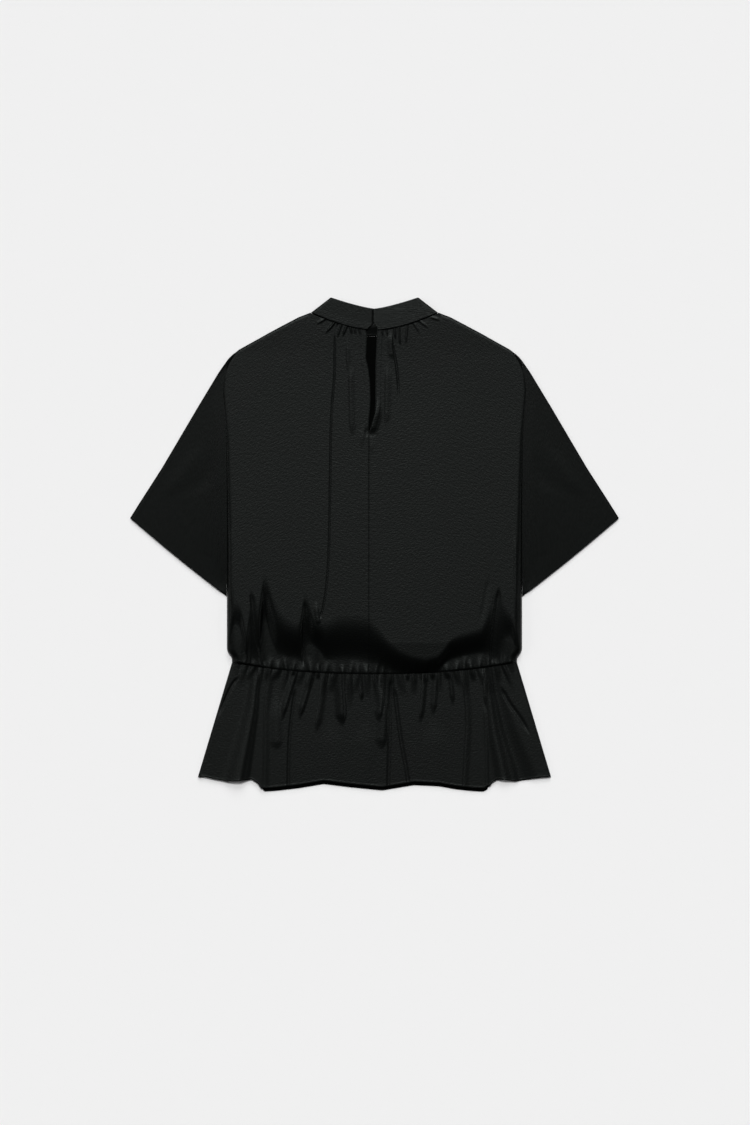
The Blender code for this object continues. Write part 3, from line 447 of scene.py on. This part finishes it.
def back_surface(x, y):
    """Height of the back's upper face."""
    from_side = body_edge(y) - np.abs(x)
    from_top = back_top_y(x) - y
    from_waist = y - waist_y(x)
    on_sleeve = smooth((250 * MM - y) / (10 * MM)) * smooth((y - UNDERARM_Y) / (12 * MM))
    edge = mix(SIDE_EDGE_TOP, ARMHOLE_EDGE_TOP, on_sleeve)
    top_edge = mix(NECK_EDGE_TOP, SIDE_EDGE_TOP, smooth((np.abs(x) - 84 * MM) / (8 * MM)))
    edge = mix(top_edge, edge, smooth((from_top - 13 * MM) / (12 * MM)))

    rise = np.clip((RISE_TOP_Y - y) / RISE_LENGTH, 0.0, 1.0) ** RISE_POWER
    crest = photo_y(photo_table(DRAPE, x, 1, DRAPE_BLUR)) + DRAPE_LIFT
    foot = photo_y(photo_table(DRAPE, x, 2, DRAPE_BLUR))
    drop = photo_table(DRAPE, x, 3, DRAPE_BLUR)
    fallen = drop * smooth(np.clip((crest - y) / (crest - foot), 0.0, 1.0) ** DRAPE_POWER)
    middle = BODY_TOP + BLOUSE_RISE * rise * (1.0 - fallen)
    middle += crease_relief(BACK_CREASES, x, y)

    under_collar = smooth((from_top - 0.3 * MM) / (1.8 * MM))
    below_collar = smooth((from_top - 1.0 * MM) / (12 * MM))
    at_shoulder = rounded(from_top / (3.5 * MM))
    outside = smooth((np.abs(x) - 83 * MM) / (7 * MM))
    side_roll = mix(3.5 * MM, 13 * MM, rise)
    roll = rounded(from_side / side_roll) * mix(below_collar, at_shoulder, outside)
    height = mix(edge, middle, roll)
    height += crease_relief(NECK_CREASES, x, y) * under_collar

    rest = mix(WAIST_SEAM_TOP, SIDE_EDGE_TOP, smooth((np.abs(x) - 179 * MM) / (8 * MM)))
    height = mix(rest, height, rounded(from_waist / (2.2 * MM)))
    inner = smooth((186 * MM - np.abs(x)) / (12 * MM))
    height += inner * waist_gathers(x, from_waist, True)
    return height


def back_half(name, side):
    """Half of the back as a grid of rows from neck to waist and columns from its centre edge."""
    column = 1 if side < 0 else 2
    gap = 0.12 * MM

    def centre_x(y):
        return table(SLIT, y, column, blur=3 * MM) + side * gap

    if side < 0:
        u = spaced_rows(((0.0, 0.21, 40), (0.21, 0.38, 70), (0.38, 1.0, 99)))
    else:
        u = spaced_rows(((0.0, 0.2, 60), (0.2, 1.0, 149)))
    v = spaced_rows(((0.0, 0.09, 32), (0.09, 0.66, 62), (0.66, 1.0, 104)))
    uu, vv = np.meshgrid(u, v)
    top_x = mix(centre_x(np.array(290 * MM)), side * 185 * MM, uu)
    low_x = mix(centre_x(np.array(-170 * MM)), side * WAIST_HALF, uu)
    y = mix(back_top_y(top_x), waist_y(low_x) + 0.1 * MM, vv)
    x = mix(centre_x(y), side * body_edge(y), uu)
    z = back_surface(x, y)
    from_centre = side * (x - centre_x(y))
    lip = np.where(y > SLIT_END_Y, 0.30 * MM, 0.14 * MM)
    z -= lip * (1.0 - smooth(from_centre / (1.8 * MM)))
    if side < 0:
        ridge = np.cos(np.clip((from_centre - 1.2 * MM) / (1.6 * MM), -1, 1) * math.pi / 2)
        z += 0.12 * MM * ridge ** 2
    slit_hem = smooth((y - SLIT_END_Y) / (6 * MM))
    hem_edge = 1.0 - smooth((from_centre - 6.5 * MM) / (0.9 * MM))
    z += 0.14 * MM * slit_hem * hem_edge
    return cloth_shell(name, np.stack([x, y, z], axis=-1), CLOTH)


def spaced_rows(spans):
    """Places from 0 to 1 in spans of (first, last, count)."""
    places = []
    for first, last, count in spans:
        places += list(np.linspace(first, last, count, endpoint=False))
    return np.array(places + [spans[-1][1]])


def grid_normals(points):
    along_u = np.gradient(points, axis=1)
    along_v = np.gradient(points, axis=0)
    normals = np.cross(along_u, along_v)
    normals /= np.maximum(np.linalg.norm(normals, axis=-1, keepdims=True), 1e-12)
    return normals


def cloth_shell(name, outer, thickness, closed=False, inner=None):
    """A thin closed shell on a grid of outer points, with the cloth's own UV in metres."""
    rows, columns = outer.shape[:2]
    if inner is None:
        normals = grid_normals(outer)
        if normals[..., 2].mean() < 0:
            normals = -normals
        inner = outer - normals * thickness
    across = np.linalg.norm(np.diff(outer, axis=1), axis=-1)
    down = np.linalg.norm(np.diff(outer, axis=0), axis=-1)
    u = np.concatenate([np.zeros((rows, 1)), np.cumsum(across, axis=1)], axis=1)
    v = np.concatenate([np.zeros((1, columns)), np.cumsum(down, axis=0)], axis=0)
    verts = np.concatenate([outer.reshape(-1, 3), inner.reshape(-1, 3)])
    index = np.arange(rows * columns).reshape(rows, columns)
    ring = np.concatenate([index, index[:, :1]], axis=1) if closed else index
    a, b = ring[:-1, :-1].ravel(), ring[:-1, 1:].ravel()
    c, d = ring[1:, 1:].ravel(), ring[1:, :-1].ravel()
    shift = rows * columns
    faces = [np.stack([a, b, c, d], axis=1), np.stack([a, d, c, b], axis=1) + shift]
    borders = [ring[0, ::-1], ring[-1, :]]
    if not closed:
        borders += [index[:, 0], index[::-1, -1]]
    for border in borders:
        p, q = border[:-1], border[1:]
        faces.append(np.stack([p, q, q + shift, p + shift], axis=1)[:, ::-1])
    faces = np.concatenate(faces)
    mesh = bpy.data.meshes.new(name)
    mesh.from_pydata(verts.tolist(), [], faces.tolist())
    piece = bpy.data.objects.new(name, mesh)
    bpy.context.collection.objects.link(piece)
    face_outwards(mesh, outer, inner)
    uv = np.tile(np.stack([u.ravel(), v.ravel()], axis=1), (2, 1))
    layer = mesh.uv_layers.new(name="cloth")
    loops = np.empty(len(mesh.loops), dtype=np.int32)
    mesh.loops.foreach_get("vertex_index", loops)
    layer.data.foreach_set("uv", uv[loops].astype(np.float32).ravel())
    mesh.shade_smooth()
    mesh.set_sharp_from_angle(angle=math.radians(70))
    return piece


def face_outwards(mesh, outer, inner):
    """Turn the shell's faces to point away from its inner wall."""
    first = mesh.polygons[len(mesh.polygons) // 4]
    middle = np.mean([mesh.vertices[i].co for i in first.vertices], axis=0)
    flat = outer.reshape(-1, 3)
    nearest = np.argmin(((flat - middle) ** 2).sum(axis=1))
    away = flat[nearest] - inner.reshape(-1, 3)[nearest]
    if np.dot(np.array(first.normal), away) < 0:
        mesh.flip_normals()


def front_body():
    columns, rows = 150, 110
    u = np.linspace(-1.0, 1.0, columns)
    uu, vv = np.meshgrid(u, np.linspace(0.0, 1.0, rows))
    y = mix(front_top_y(uu * 185 * MM), waist_y(uu * WAIST_HALF) + 0.1 * MM, vv)
    x = uu * (body_edge(y) - 0.3 * MM)
    z = np.full_like(x, FRONT_TOP)
    distance = y - waist_y(x)
    clear = smooth((distance - 5 * MM) / (6 * MM)) * smooth((150 * MM - np.abs(x)) / (25 * MM))
    z += 0.6 * clear * waist_gathers(x, distance, True)
    return cloth_shell("front_cloth", np.stack([x, y, z], axis=-1), CLOTH)


def hem_y(x, lift_where_shown, lift_elsewhere):
    left = smooth((x - FRONT_SHOWS[0]) / (4 * MM))
    right = smooth((FRONT_SHOWS[1] - x) / (4 * MM))
    return table(HEM, x, blur=3 * MM) + mix(lift_elsewhere, lift_where_shown, left * right)


def peplum_grid(columns, v, hem_half, lift_where_shown, lift_elsewhere):
    u = np.linspace(-1.0, 1.0, columns)
    uu, vv = np.meshgrid(u, v)
    top_x, low_x = uu * WAIST_HALF, uu * hem_half
    y = mix(waist_y(top_x) - 0.1 * MM, hem_y(low_x, lift_where_shown, lift_elsewhere), vv)
    return uu, vv, mix(top_x, low_x, vv), y


def peplum_back():
    v = spaced_rows(((0.0, 0.32, 42), (0.32, 0.93, 44), (0.93, 1.0, 16)))
    uu, vv, x, y = peplum_grid(420, v, HEM_HALF, FRONT_HEM_SHOWS, 0.0)
    from_waist = waist_y(x) - y
    from_side = (1.0 - np.abs(uu)) * mix(WAIST_HALF, HEM_HALF, vv)
    middle = mix(PEPLUM_TOP, PEPLUM_HEM_TOP, vv) + crease_relief(PEPLUM_CREASES, x, y)
    inner = smooth((186 * MM - np.abs(x)) / (12 * MM))
    middle += inner * waist_gathers(x, from_waist, False)
    height = mix(SIDE_EDGE_TOP, middle, rounded(from_side / (3.5 * MM)))
    height = np.maximum(height, SIDE_EDGE_TOP)
    to_hem = y - hem_y(x, FRONT_HEM_SHOWS, 0.0)
    roll = np.cos(np.clip((to_hem - 1.5 * MM) / (1.6 * MM), -1, 1) * math.pi / 2)
    height += 0.14 * MM * roll ** 2
    return cloth_shell("peplum_back_cloth", np.stack([x, y, height], axis=-1), CLOTH)


def peplum_front():
    v = spaced_rows(((0.0, 0.92, 50), (0.92, 1.0, 12)))
    uu, vv, x, y = peplum_grid(180, v, HEM_HALF - 1 * MM, 0.0, 3 * MM)
    height = np.full_like(x, FRONT_TOP)
    distance = waist_y(x) - y
    clear = smooth((distance - 5 * MM) / (6 * MM)) * smooth((150 * MM - np.abs(x)) / (25 * MM))
    height += 0.5 * clear * waist_gathers(x, distance, False)
    to_hem = y - hem_y(x, 0.0, 3 * MM)
    height += 0.25 * MM * (1.0 - smooth((to_hem - 6 * MM) / (0.9 * MM)))
    return cloth_shell("peplum_front_cloth", np.stack([x, y, height], axis=-1), CLOTH)


def sleeve(name, side):
    """One wide sleeve: a flat tube with a fold along its top."""
    start = np.array([185.3, 252.3]) * MM
    underarm = np.array([195.0, -69.0]) * MM
    top = np.array([(row.at, row.value) for row in SLEEVE_TOP]) * MM
    lengths = np.concatenate([[0.0], np.cumsum(np.linalg.norm(np.diff(top, axis=0), axis=1))])

    def along_top(a):
        return np.array([np.interp(a * lengths[-1], lengths, top[:, k]) for k in (0, 1)])

    opening = along_top(1.0) - underarm
    opening /= np.linalg.norm(opening)
    outwards = np.array([opening[1], -opening[0]])

    def plan(a, q, shift):
        low = underarm + opening * UNDERARM_SEAM * a
        straight = mix(along_top(a)[:, None], low[:, None], q)
        arm_y = mix(start[1], UNDERARM_Y, q)
        arm_x = body_edge(arm_y) + 0.3 * MM + shift
        bow = np.stack([arm_x, arm_y]) - mix(start[:, None], underarm[:, None], q)
        bow *= (1.0 - a) ** 2
        bow += outwards[:, None] * 1.2 * MM * np.sin(math.pi * q) * a
        return straight + bow

    rings_a = spaced_rows(((0.0, 0.9, 56), (0.9, 1.0, 16)))
    half = 90
    share = (1.0 - np.cos(np.linspace(0.0, math.pi, half))) / 2.0
    share = mix(np.linspace(0.0, 1.0, half), share, 0.6)
    outer, inner = [], []
    for a in rings_a:
        length = np.linalg.norm(along_top(a) - underarm)
        ends = np.minimum(share, 1.0 - share) * length
        tuck = smooth((np.minimum(share, 1.0 - share) - 0.05) / 0.05)
        upper = plan(a, share, -(SLEEVE_TUCK + 0.3 * MM) * tuck)
        lower = plan(a, share, 0.0)
        near_body = (1.0 - a) ** 2
        puff = mix(1.2, 1.0, near_body) * MM
        roll = np.sqrt(np.clip(1.0 - (1.0 - np.minimum(ends / (2.2 * MM), 1.0)) ** 2, 0, 1))
        z_top = mix(0.75 * MM, 1.65 * MM, roll) + puff * rounded(ends / (5 * MM))
        soft = crease_relief(SLEEVE_CREASES, np.abs(upper[0]) * -1.0, upper[1])
        z_top += soft * smooth(ends / (25 * MM)) * smooth(a / 0.25)
        beside = 1.0 - smooth((upper[0] - body_edge(upper[1])) / (17 * MM))
        z_top -= (0.55 if side < 0 else 0.2) * MM * beside * smooth(ends / (20 * MM))
        z_low = mix(0.55 * MM, 0.05 * MM, roll)
        bottom = slice(-2, 0, -1)
        x = np.concatenate([upper[0], lower[0][bottom]])
        y = np.concatenate([upper[1], lower[1][bottom]])
        z = np.concatenate([z_top, z_low[bottom]])
        ring = np.stack([side * x, y, z], axis=-1)
        outer.append(ring)
        inset = np.stack([x, y], axis=-1)
        towards = (underarm + opening * UNDERARM_SEAM * a) - along_top(a)
        towards /= np.linalg.norm(towards)
        q = np.concatenate([share, share[bottom]])
        near_end = np.concatenate([ends, ends[bottom]])
        push = CLOTH * np.clip(1.0 - near_end / (1.6 * MM), 0.0, 1.0)
        inset += towards[None, :] * (push * np.where(q < 0.5, 1.0, -1.0))[:, None]
        z_in = np.concatenate([z_top - CLOTH * roll - 0.02 * MM,
                               (z_low + CLOTH * roll + 0.02 * MM)[bottom]])
        inner.append(np.stack([side * inset[:, 0], inset[:, 1], z_in], axis=-1))
    return cloth_shell(name, np.array(outer), CLOTH, closed=True, inner=np.array(inner))


def collar():
    """The stand collar: one folded strip round the neck that opens at the centre back."""
    upper_z, lower_z = 5.0 * MM, 0.75 * MM
    radius = (upper_z - lower_z) / 2
    wall = 1.2 * MM
    rows = []
    levels = spaced_rows(((0.0, 0.1, 5), (0.1, 0.9, 16), (0.9, 1.0, 7)))
    for s in levels:
        half = mix(NECK_HALF, COLLAR_TOP_HALF, s)
        turn_x = half - wall / 2 - radius
        meet = smooth(s / COLLAR_MEET)
        left_end = mix(-9.4, 0.8, meet) * MM
        right_end = mix(4.6, -1.2, meet) * MM
        arc = np.linspace(0.0, math.pi, 13)
        parts = [(np.linspace(left_end, -turn_x, 60)[:-1], upper_z, 0.0, 1.0),
                 (-turn_x - radius * np.sin(arc), lower_z + radius * (1 + np.cos(arc)),
                  -np.sin(arc), np.cos(arc)),
                 (np.linspace(-turn_x, turn_x, 70)[1:-1], lower_z, 0.0, -1.0),
                 (turn_x + radius * np.sin(arc), lower_z + radius * (1 - np.cos(arc)),
                  np.sin(arc), -np.cos(arc)),
                 (np.linspace(turn_x, right_end, 60)[1:], upper_z, 0.0, 1.0)]
        x = np.concatenate([part[0] for part in parts])
        z = np.concatenate([np.broadcast_to(part[1], part[0].shape) for part in parts])
        ox = np.concatenate([np.broadcast_to(part[2], part[0].shape) for part in parts])
        oz = np.concatenate([np.broadcast_to(part[3], part[0].shape) for part in parts])
        left = np.arange(len(x)) < 60
        f = np.minimum(np.abs(x) / half, 1.0)
        back = mix(back_neck_y(f * NECK_HALF),
                   mix(COLLAR_BACK_TOP_Y, COLLAR_PEAK_Y, f ** 1.3), s)
        front = mix(front_neck_y(f * NECK_HALF),
                    mix(COLLAR_FRONT_TOP_Y, COLLAR_PEAK_Y, f ** 1.5), s)
        y = mix(back, front, smooth((upper_z - z) / (upper_z - lower_z)))
        back_layer = z > upper_z - 0.01 * MM
        tucked = meet * back_layer * (x < 2 * MM) * left
        z = z - COLLAR_END_TUCK * tucked * smooth((x + 3.2 * MM) / (2 * MM))
        middle_front = 1.0 - smooth((np.abs(x + 2 * MM) - 8 * MM) / (10 * MM))
        middle_front = middle_front * (z < lower_z + 0.01 * MM)
        z = z + COLLAR_FRONT_TILT * smooth(s / 0.5) * middle_front
        ends = np.minimum(s, 1.0 - s) * 29 * MM
        rim = math.sqrt(max(0.0, 1.0 - (1.0 - min(ends / (0.9 * MM), 1.0)) ** 2))
        thick = wall / 2 * mix(0.25, 1.0, rim)
        outer_side = np.stack([x + ox * thick, y, z + oz * thick], axis=-1)
        inner_side = np.stack([x - ox * thick, y, z - oz * thick], axis=-1)
        rows.append((outer_side, inner_side))
    outer = np.array([row[0] for row in rows])
    inner = np.array([row[1] for row in rows])
    return cloth_shell("collar_cloth", outer, wall, inner=inner)


def waist_elastic():
    """The elastic inside the waist seam, one flat ring of ribbed tape."""
    lower_z, upper_z = 1.35 * MM, 1.95 * MM
    wall, half_width, turn_x = 0.3 * MM, 3.5 * MM, 175 * MM
    radius = (upper_z - lower_z) / 2
    arc = np.linspace(0.0, math.pi, 7)[1:-1]
    across = np.linspace(-turn_x, turn_x, 240)
    x = np.concatenate([across, turn_x + radius * np.sin(arc), across[::-1],
                        -turn_x - radius * np.sin(arc)])
    z = np.concatenate([np.full(240, lower_z), lower_z + radius * (1 - np.cos(arc)),
                        np.full(240, upper_z), upper_z - radius * (1 - np.cos(arc))])
    ox = np.concatenate([np.zeros(240), np.sin(arc), np.zeros(240), -np.sin(arc)])
    oz = np.concatenate([-np.ones(240), -np.cos(arc), np.ones(240), np.cos(arc)])
    outer, inner = [], []
    for step in np.linspace(half_width, -half_width, 5):
        y = waist_y(x) + step
        outer.append(np.stack([x + ox * wall / 2, y, z + oz * wall / 2], axis=-1))
        inner.append(np.stack([x - ox * wall / 2, y, z - oz * wall / 2], axis=-1))
    return cloth_shell("waist_elastic_tape", np.array(outer), wall, closed=True,
                       inner=np.array(inner))


def elastic_tape():
    """Matt black ribbed tape: ribs run round the ring."""
    material = bpy.data.materials.new("elastic_tape")
    material.use_nodes = True
    nodes, links = material.node_tree.nodes, material.node_tree.links
    shader = nodes["Principled BSDF"]
    place = nodes.new("ShaderNodeUVMap")
    place.uv_map = "cloth"
    ribs = nodes.new("ShaderNodeTexWave")
    ribs.bands_direction = "Y"
    ribs.inputs["Scale"].default_value = 220.0
    ribs.inputs["Distortion"].default_value = 0.6
    links.new(place.outputs["UV"], ribs.inputs["Vector"])
    # The ribs' valleys are painted darker than their crests: painted shade in the grooves,
    # driven by the same wave that raises the ribs.
    shade = nodes.new("ShaderNodeValToRGB")
    shade.color_ramp.elements[0].color = (0.004, 0.004, 0.004, 1.0)
    shade.color_ramp.elements[1].color = (0.012, 0.012, 0.012, 1.0)
    links.new(ribs.outputs["Fac"], shade.inputs["Fac"])
    links.new(shade.outputs["Color"], shader.inputs["Base Color"])
    relief = nodes.new("ShaderNodeBump")
    relief.inputs["Strength"].default_value = 0.5
    relief.inputs["Distance"].default_value = 0.0003
    links.new(ribs.outputs["Fac"], relief.inputs["Height"])
    links.new(relief.outputs["Normal"], shader.inputs["Normal"])
    shader.inputs["Roughness"].default_value = 0.85
    shader.inputs["Specular IOR Level"].default_value = 0.1
    return material


def weave_group():
    """Satin weave: fine floats in rows, slubs and the cloth's slight unevenness."""
    group = bpy.data.node_groups.new("satin weave", "ShaderNodeTree")
    for name, value in (("Float pitch", 0.0006), ("Float strength", 0.02),
                        ("Uneven size", 0.004), ("Tone spread", 0.2)):
        socket = group.interface.new_socket(name, in_out="INPUT", socket_type="NodeSocketFloat")
        socket.default_value = value
    group.interface.new_socket("Cloth place", in_out="INPUT", socket_type="NodeSocketVector")
    for name, kind in (("Height", "Float"), ("Tone", "Float"), ("Gloss", "Float")):
        group.interface.new_socket(name, in_out="OUTPUT", socket_type="NodeSocket" + kind)
    nodes, links = group.nodes, group.links
    start = nodes.new("NodeGroupInput")
    end = nodes.new("NodeGroupOutput")

    def math_node(operation, first, second):
        node = nodes.new("ShaderNodeMath")
        node.operation = operation
        for socket, value in zip(node.inputs, (first, second)):
            if isinstance(value, (int, float)):
                socket.default_value = value
            else:
                links.new(value, socket)
        return node.outputs[0]

    def noise(scale, detail, stretch=(1.0, 1.0, 1.0)):
        mapping = nodes.new("ShaderNodeMapping")
        mapping.inputs["Scale"].default_value = stretch
        links.new(start.outputs["Cloth place"], mapping.inputs["Vector"])
        node = nodes.new("ShaderNodeTexNoise")
        node.inputs["Scale"].default_value = scale
        node.inputs["Detail"].default_value = detail
        node.inputs["Roughness"].default_value = 0.6
        links.new(mapping.outputs[0], node.inputs["Vector"])
        return node.outputs["Fac"]

    split = nodes.new("ShaderNodeSeparateXYZ")
    links.new(start.outputs["Cloth place"], split.inputs[0])
    warp = math_node("DIVIDE", split.outputs["X"], start.outputs["Float pitch"])
    weft = math_node("DIVIDE", split.outputs["Y"], start.outputs["Float pitch"])
    slant = math_node("ADD", math_node("MULTIPLY", warp, 5.0), weft)
    rib = math_node("SINE", math_node("MULTIPLY", slant, 1.2566), 0.0)
    thread = math_node("SINE", math_node("MULTIPLY", warp, 6.2832), 0.0)
    floats = math_node("MULTIPLY", math_node("ADD", rib, thread),
                       start.outputs["Float strength"])
    broad = math_node("ADD", noise(560.0, 1.0, (1.0, 0.4, 1.0)),
                      noise(560.0, 1.0, (0.4, 1.0, 1.0)))
    slub = noise(900.0, 2.0, (1.0, 0.25, 1.0))
    uneven = math_node("ADD", math_node("MULTIPLY", broad, 1.15),
                       math_node("MULTIPLY", slub, 0.15))
    links.new(math_node("ADD", floats, uneven), end.inputs["Height"])
    tone = noise(55.0, 4.0)
    spread = math_node("MULTIPLY", math_node("SUBTRACT", tone, 0.5),
                       start.outputs["Tone spread"])
    links.new(math_node("ADD", 1.0, spread), end.inputs["Tone"])
    links.new(math_node("MULTIPLY", math_node("SUBTRACT", slub, 0.5), 0.10),
              end.inputs["Gloss"])
    return group


WEAVE = weave_group()
WEAVE_RELIEF = 0.32
WEAVE_DEPTH = 0.4 * MM
SATIN_TINT = (0.92, 1.0, 0.96, 1.0)


def satin(name, color, roughness, specular):
    """Satin of one tone: colour and roughness from the weave, gloss from the shader."""
    material = bpy.data.materials.new(name)
    material.use_nodes = True
    nodes, links = material.node_tree.nodes, material.node_tree.links
    shader = nodes["Principled BSDF"]
    place = nodes.new("ShaderNodeUVMap")
    place.uv_map = "cloth"
    weave = nodes.new("ShaderNodeGroup")
    weave.node_tree = WEAVE
    links.new(place.outputs["UV"], weave.inputs["Cloth place"])
    tint = nodes.new("ShaderNodeMix")
    tint.data_type = "RGBA"
    tint.blend_type = "MULTIPLY"
    tint.inputs["Factor"].default_value = 1.0
    tint.inputs["A"].default_value = (*color, 1.0)
    links.new(weave.outputs["Tone"], tint.inputs["B"])
    links.new(tint.outputs["Result"], shader.inputs["Base Color"])
    rough = nodes.new("ShaderNodeMath")
    rough.operation = "ADD"
    rough.inputs[0].default_value = roughness
    links.new(weave.outputs["Gloss"], rough.inputs[1])
    links.new(rough.outputs[0], shader.inputs["Roughness"])
    relief = nodes.new("ShaderNodeBump")
    relief.inputs["Strength"].default_value = WEAVE_RELIEF
    relief.inputs["Distance"].default_value = WEAVE_DEPTH
    links.new(weave.outputs["Height"], relief.inputs["Height"])
    links.new(relief.outputs["Normal"], shader.inputs["Normal"])
    shader.inputs["Specular IOR Level"].default_value = specular
    shader.inputs["Specular Tint"].default_value = SATIN_TINT
    return material


def floor_and_light():
    bpy.ops.mesh.primitive_plane_add(size=8.0, location=(0.0, 0.0, -0.0002))
    floor = bpy.context.object
    floor.name = "floor"
    material = bpy.data.materials.new("floor_paper")
    material.use_nodes = True
    nodes, links = material.node_tree.nodes, material.node_tree.links
    shader = nodes["Principled BSDF"]
    grain = nodes.new("ShaderNodeTexNoise")
    grain.inputs["Scale"].default_value = 30.0
    ramp = nodes.new("ShaderNodeValToRGB")
    ramp.color_ramp.elements[0].color = (0.876, 0.876, 0.876, 1.0)
    ramp.color_ramp.elements[1].color = (0.880, 0.880, 0.880, 1.0)
    place = nodes.new("ShaderNodeTexCoord")
    links.new(place.outputs["Object"], grain.inputs["Vector"])
    links.new(grain.outputs["Fac"], ramp.inputs["Fac"])
    links.new(ramp.outputs["Color"], shader.inputs["Base Color"])
    shader.inputs["Roughness"].default_value = 0.9
    shader.inputs["Specular IOR Level"].default_value = 0.1
    floor.data.materials.append(material)

    world = bpy.data.worlds.new("studio")
    bpy.context.scene.world = world
    world.use_nodes = True
    world.node_tree.nodes["Background"].inputs["Color"].default_value = (1.0, 1.0, 1.0, 1.0)
    world.node_tree.nodes["Background"].inputs["Strength"].default_value = WORLD_LIGHT
    for name, tilt, turn, angle, strength in SUNS:
        lamp = bpy.data.lights.new(name, "SUN")
        lamp.energy = strength
        lamp.angle = math.radians(angle)
        holder = bpy.data.objects.new(name, lamp)
        bpy.context.collection.objects.link(holder)
        tilt, turn = math.radians(tilt), math.radians(turn)
        towards = Vector((math.sin(tilt) * math.sin(turn), math.sin(tilt) * math.cos(turn),
                          math.cos(tilt)))
        holder.rotation_euler = towards.to_track_quat("Z", "Y").to_euler()
        holder.location = towards * 3.0


# Soft lights: tilt from straight above, turn from the neck's direction towards the right,
# the lamp's own angle and its strength.
SUNS = (
    ("key", 27, -2, 16, 2.15),
    ("left_key", 26, -62, 14, 0.10),
    ("top_edge", 58, 4, 32, 1.50),
    ("left_fill", 62, -90, 24, 0.34),
    ("right_fill", 62, 90, 24, 0.20),
)
WORLD_LIGHT = 0.02

CAMERA_HEIGHT = 4.0


def camera():
    lens = bpy.data.cameras.new("camera")
    holder = bpy.data.objects.new("camera", lens)
    bpy.context.collection.objects.link(holder)
    holder.location = ((PHOTO_WIDTH / 2 - PHOTO_X) * PHOTO_STEP,
                       (PHOTO_Y - PHOTO_HEIGHT / 2) * PHOTO_STEP, CAMERA_HEIGHT)
    holder.rotation_euler = (0.0, 0.0, 0.0)
    lens.sensor_fit = "VERTICAL"
    lens.sensor_height = 36.0
    lens.lens = 36.0 * CAMERA_HEIGHT / (PHOTO_HEIGHT * PHOTO_STEP)
    lens.clip_end = 20.0
    bpy.context.scene.camera = holder
    bpy.context.scene.view_settings.view_transform = "Standard"


def main():
    camera()
    floor_and_light()
    body_satin = satin("body_satin", (0.0008, 0.0010, 0.0009), 0.38, 0.131)
    # The sleeves' satin is the body's with less gloss and a darker colour: painted shade,
    # standing in for how the light falls on the sleeves' tilt and grain.
    sleeve_satin_painted_shade = satin("sleeve_satin_painted_shade", (0.0007, 0.0009, 0.0008), 0.38, 0.116)
    # The peplum's satin is the body's with more gloss: painted light, a brighter copy of the
    # same cloth.
    peplum_satin_painted_light = satin("peplum_satin_painted_light", (0.0007, 0.0009, 0.0008), 0.38, 0.200)
    # The reverse face of the satin, seen through the opening and below the back's hem, is duller
    # than the face. It is also painted darker, as the shade it lies in.
    dull_reverse_and_painted_shade = satin("dull_reverse_and_painted_shade", (0.0004, 0.0005, 0.0004), 0.6, 0.015)
    dressed = (
        (front_body(), "bodice_front", dull_reverse_and_painted_shade, (0.43, 0.52), 0.19),
        (back_half("back_left_cloth", -1), "bodice_back_left", body_satin, (0.21, 0.51), 0.095),
        (back_half("back_right_cloth", 1), "bodice_back_right", body_satin, (0.22, 0.51), 0.1),
        (sleeve("sleeve_left_cloth", -1), "sleeve_left", sleeve_satin_painted_shade, (0.33, 0.28), 0.042),
        (sleeve("sleeve_right_cloth", 1), "sleeve_right", sleeve_satin_painted_shade, (0.33, 0.28), 0.042),
        (collar(), "collar", body_satin, (0.32, 0.032), None),
        (peplum_front(), "peplum_front", dull_reverse_and_painted_shade, (0.5, 0.165), 0.075),
        (peplum_back(), "peplum_back", peplum_satin_painted_light, (0.5, 0.165), 0.078),
    )
    for piece, node, material, flat, area in dressed:
        piece.data.materials.append(material)
        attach(piece, "root")
        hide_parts(node)
    tape = waist_elastic()
    tape.data.materials.append(elastic_tape())
    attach(tape, "root")
    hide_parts("waist_elastic")


main()
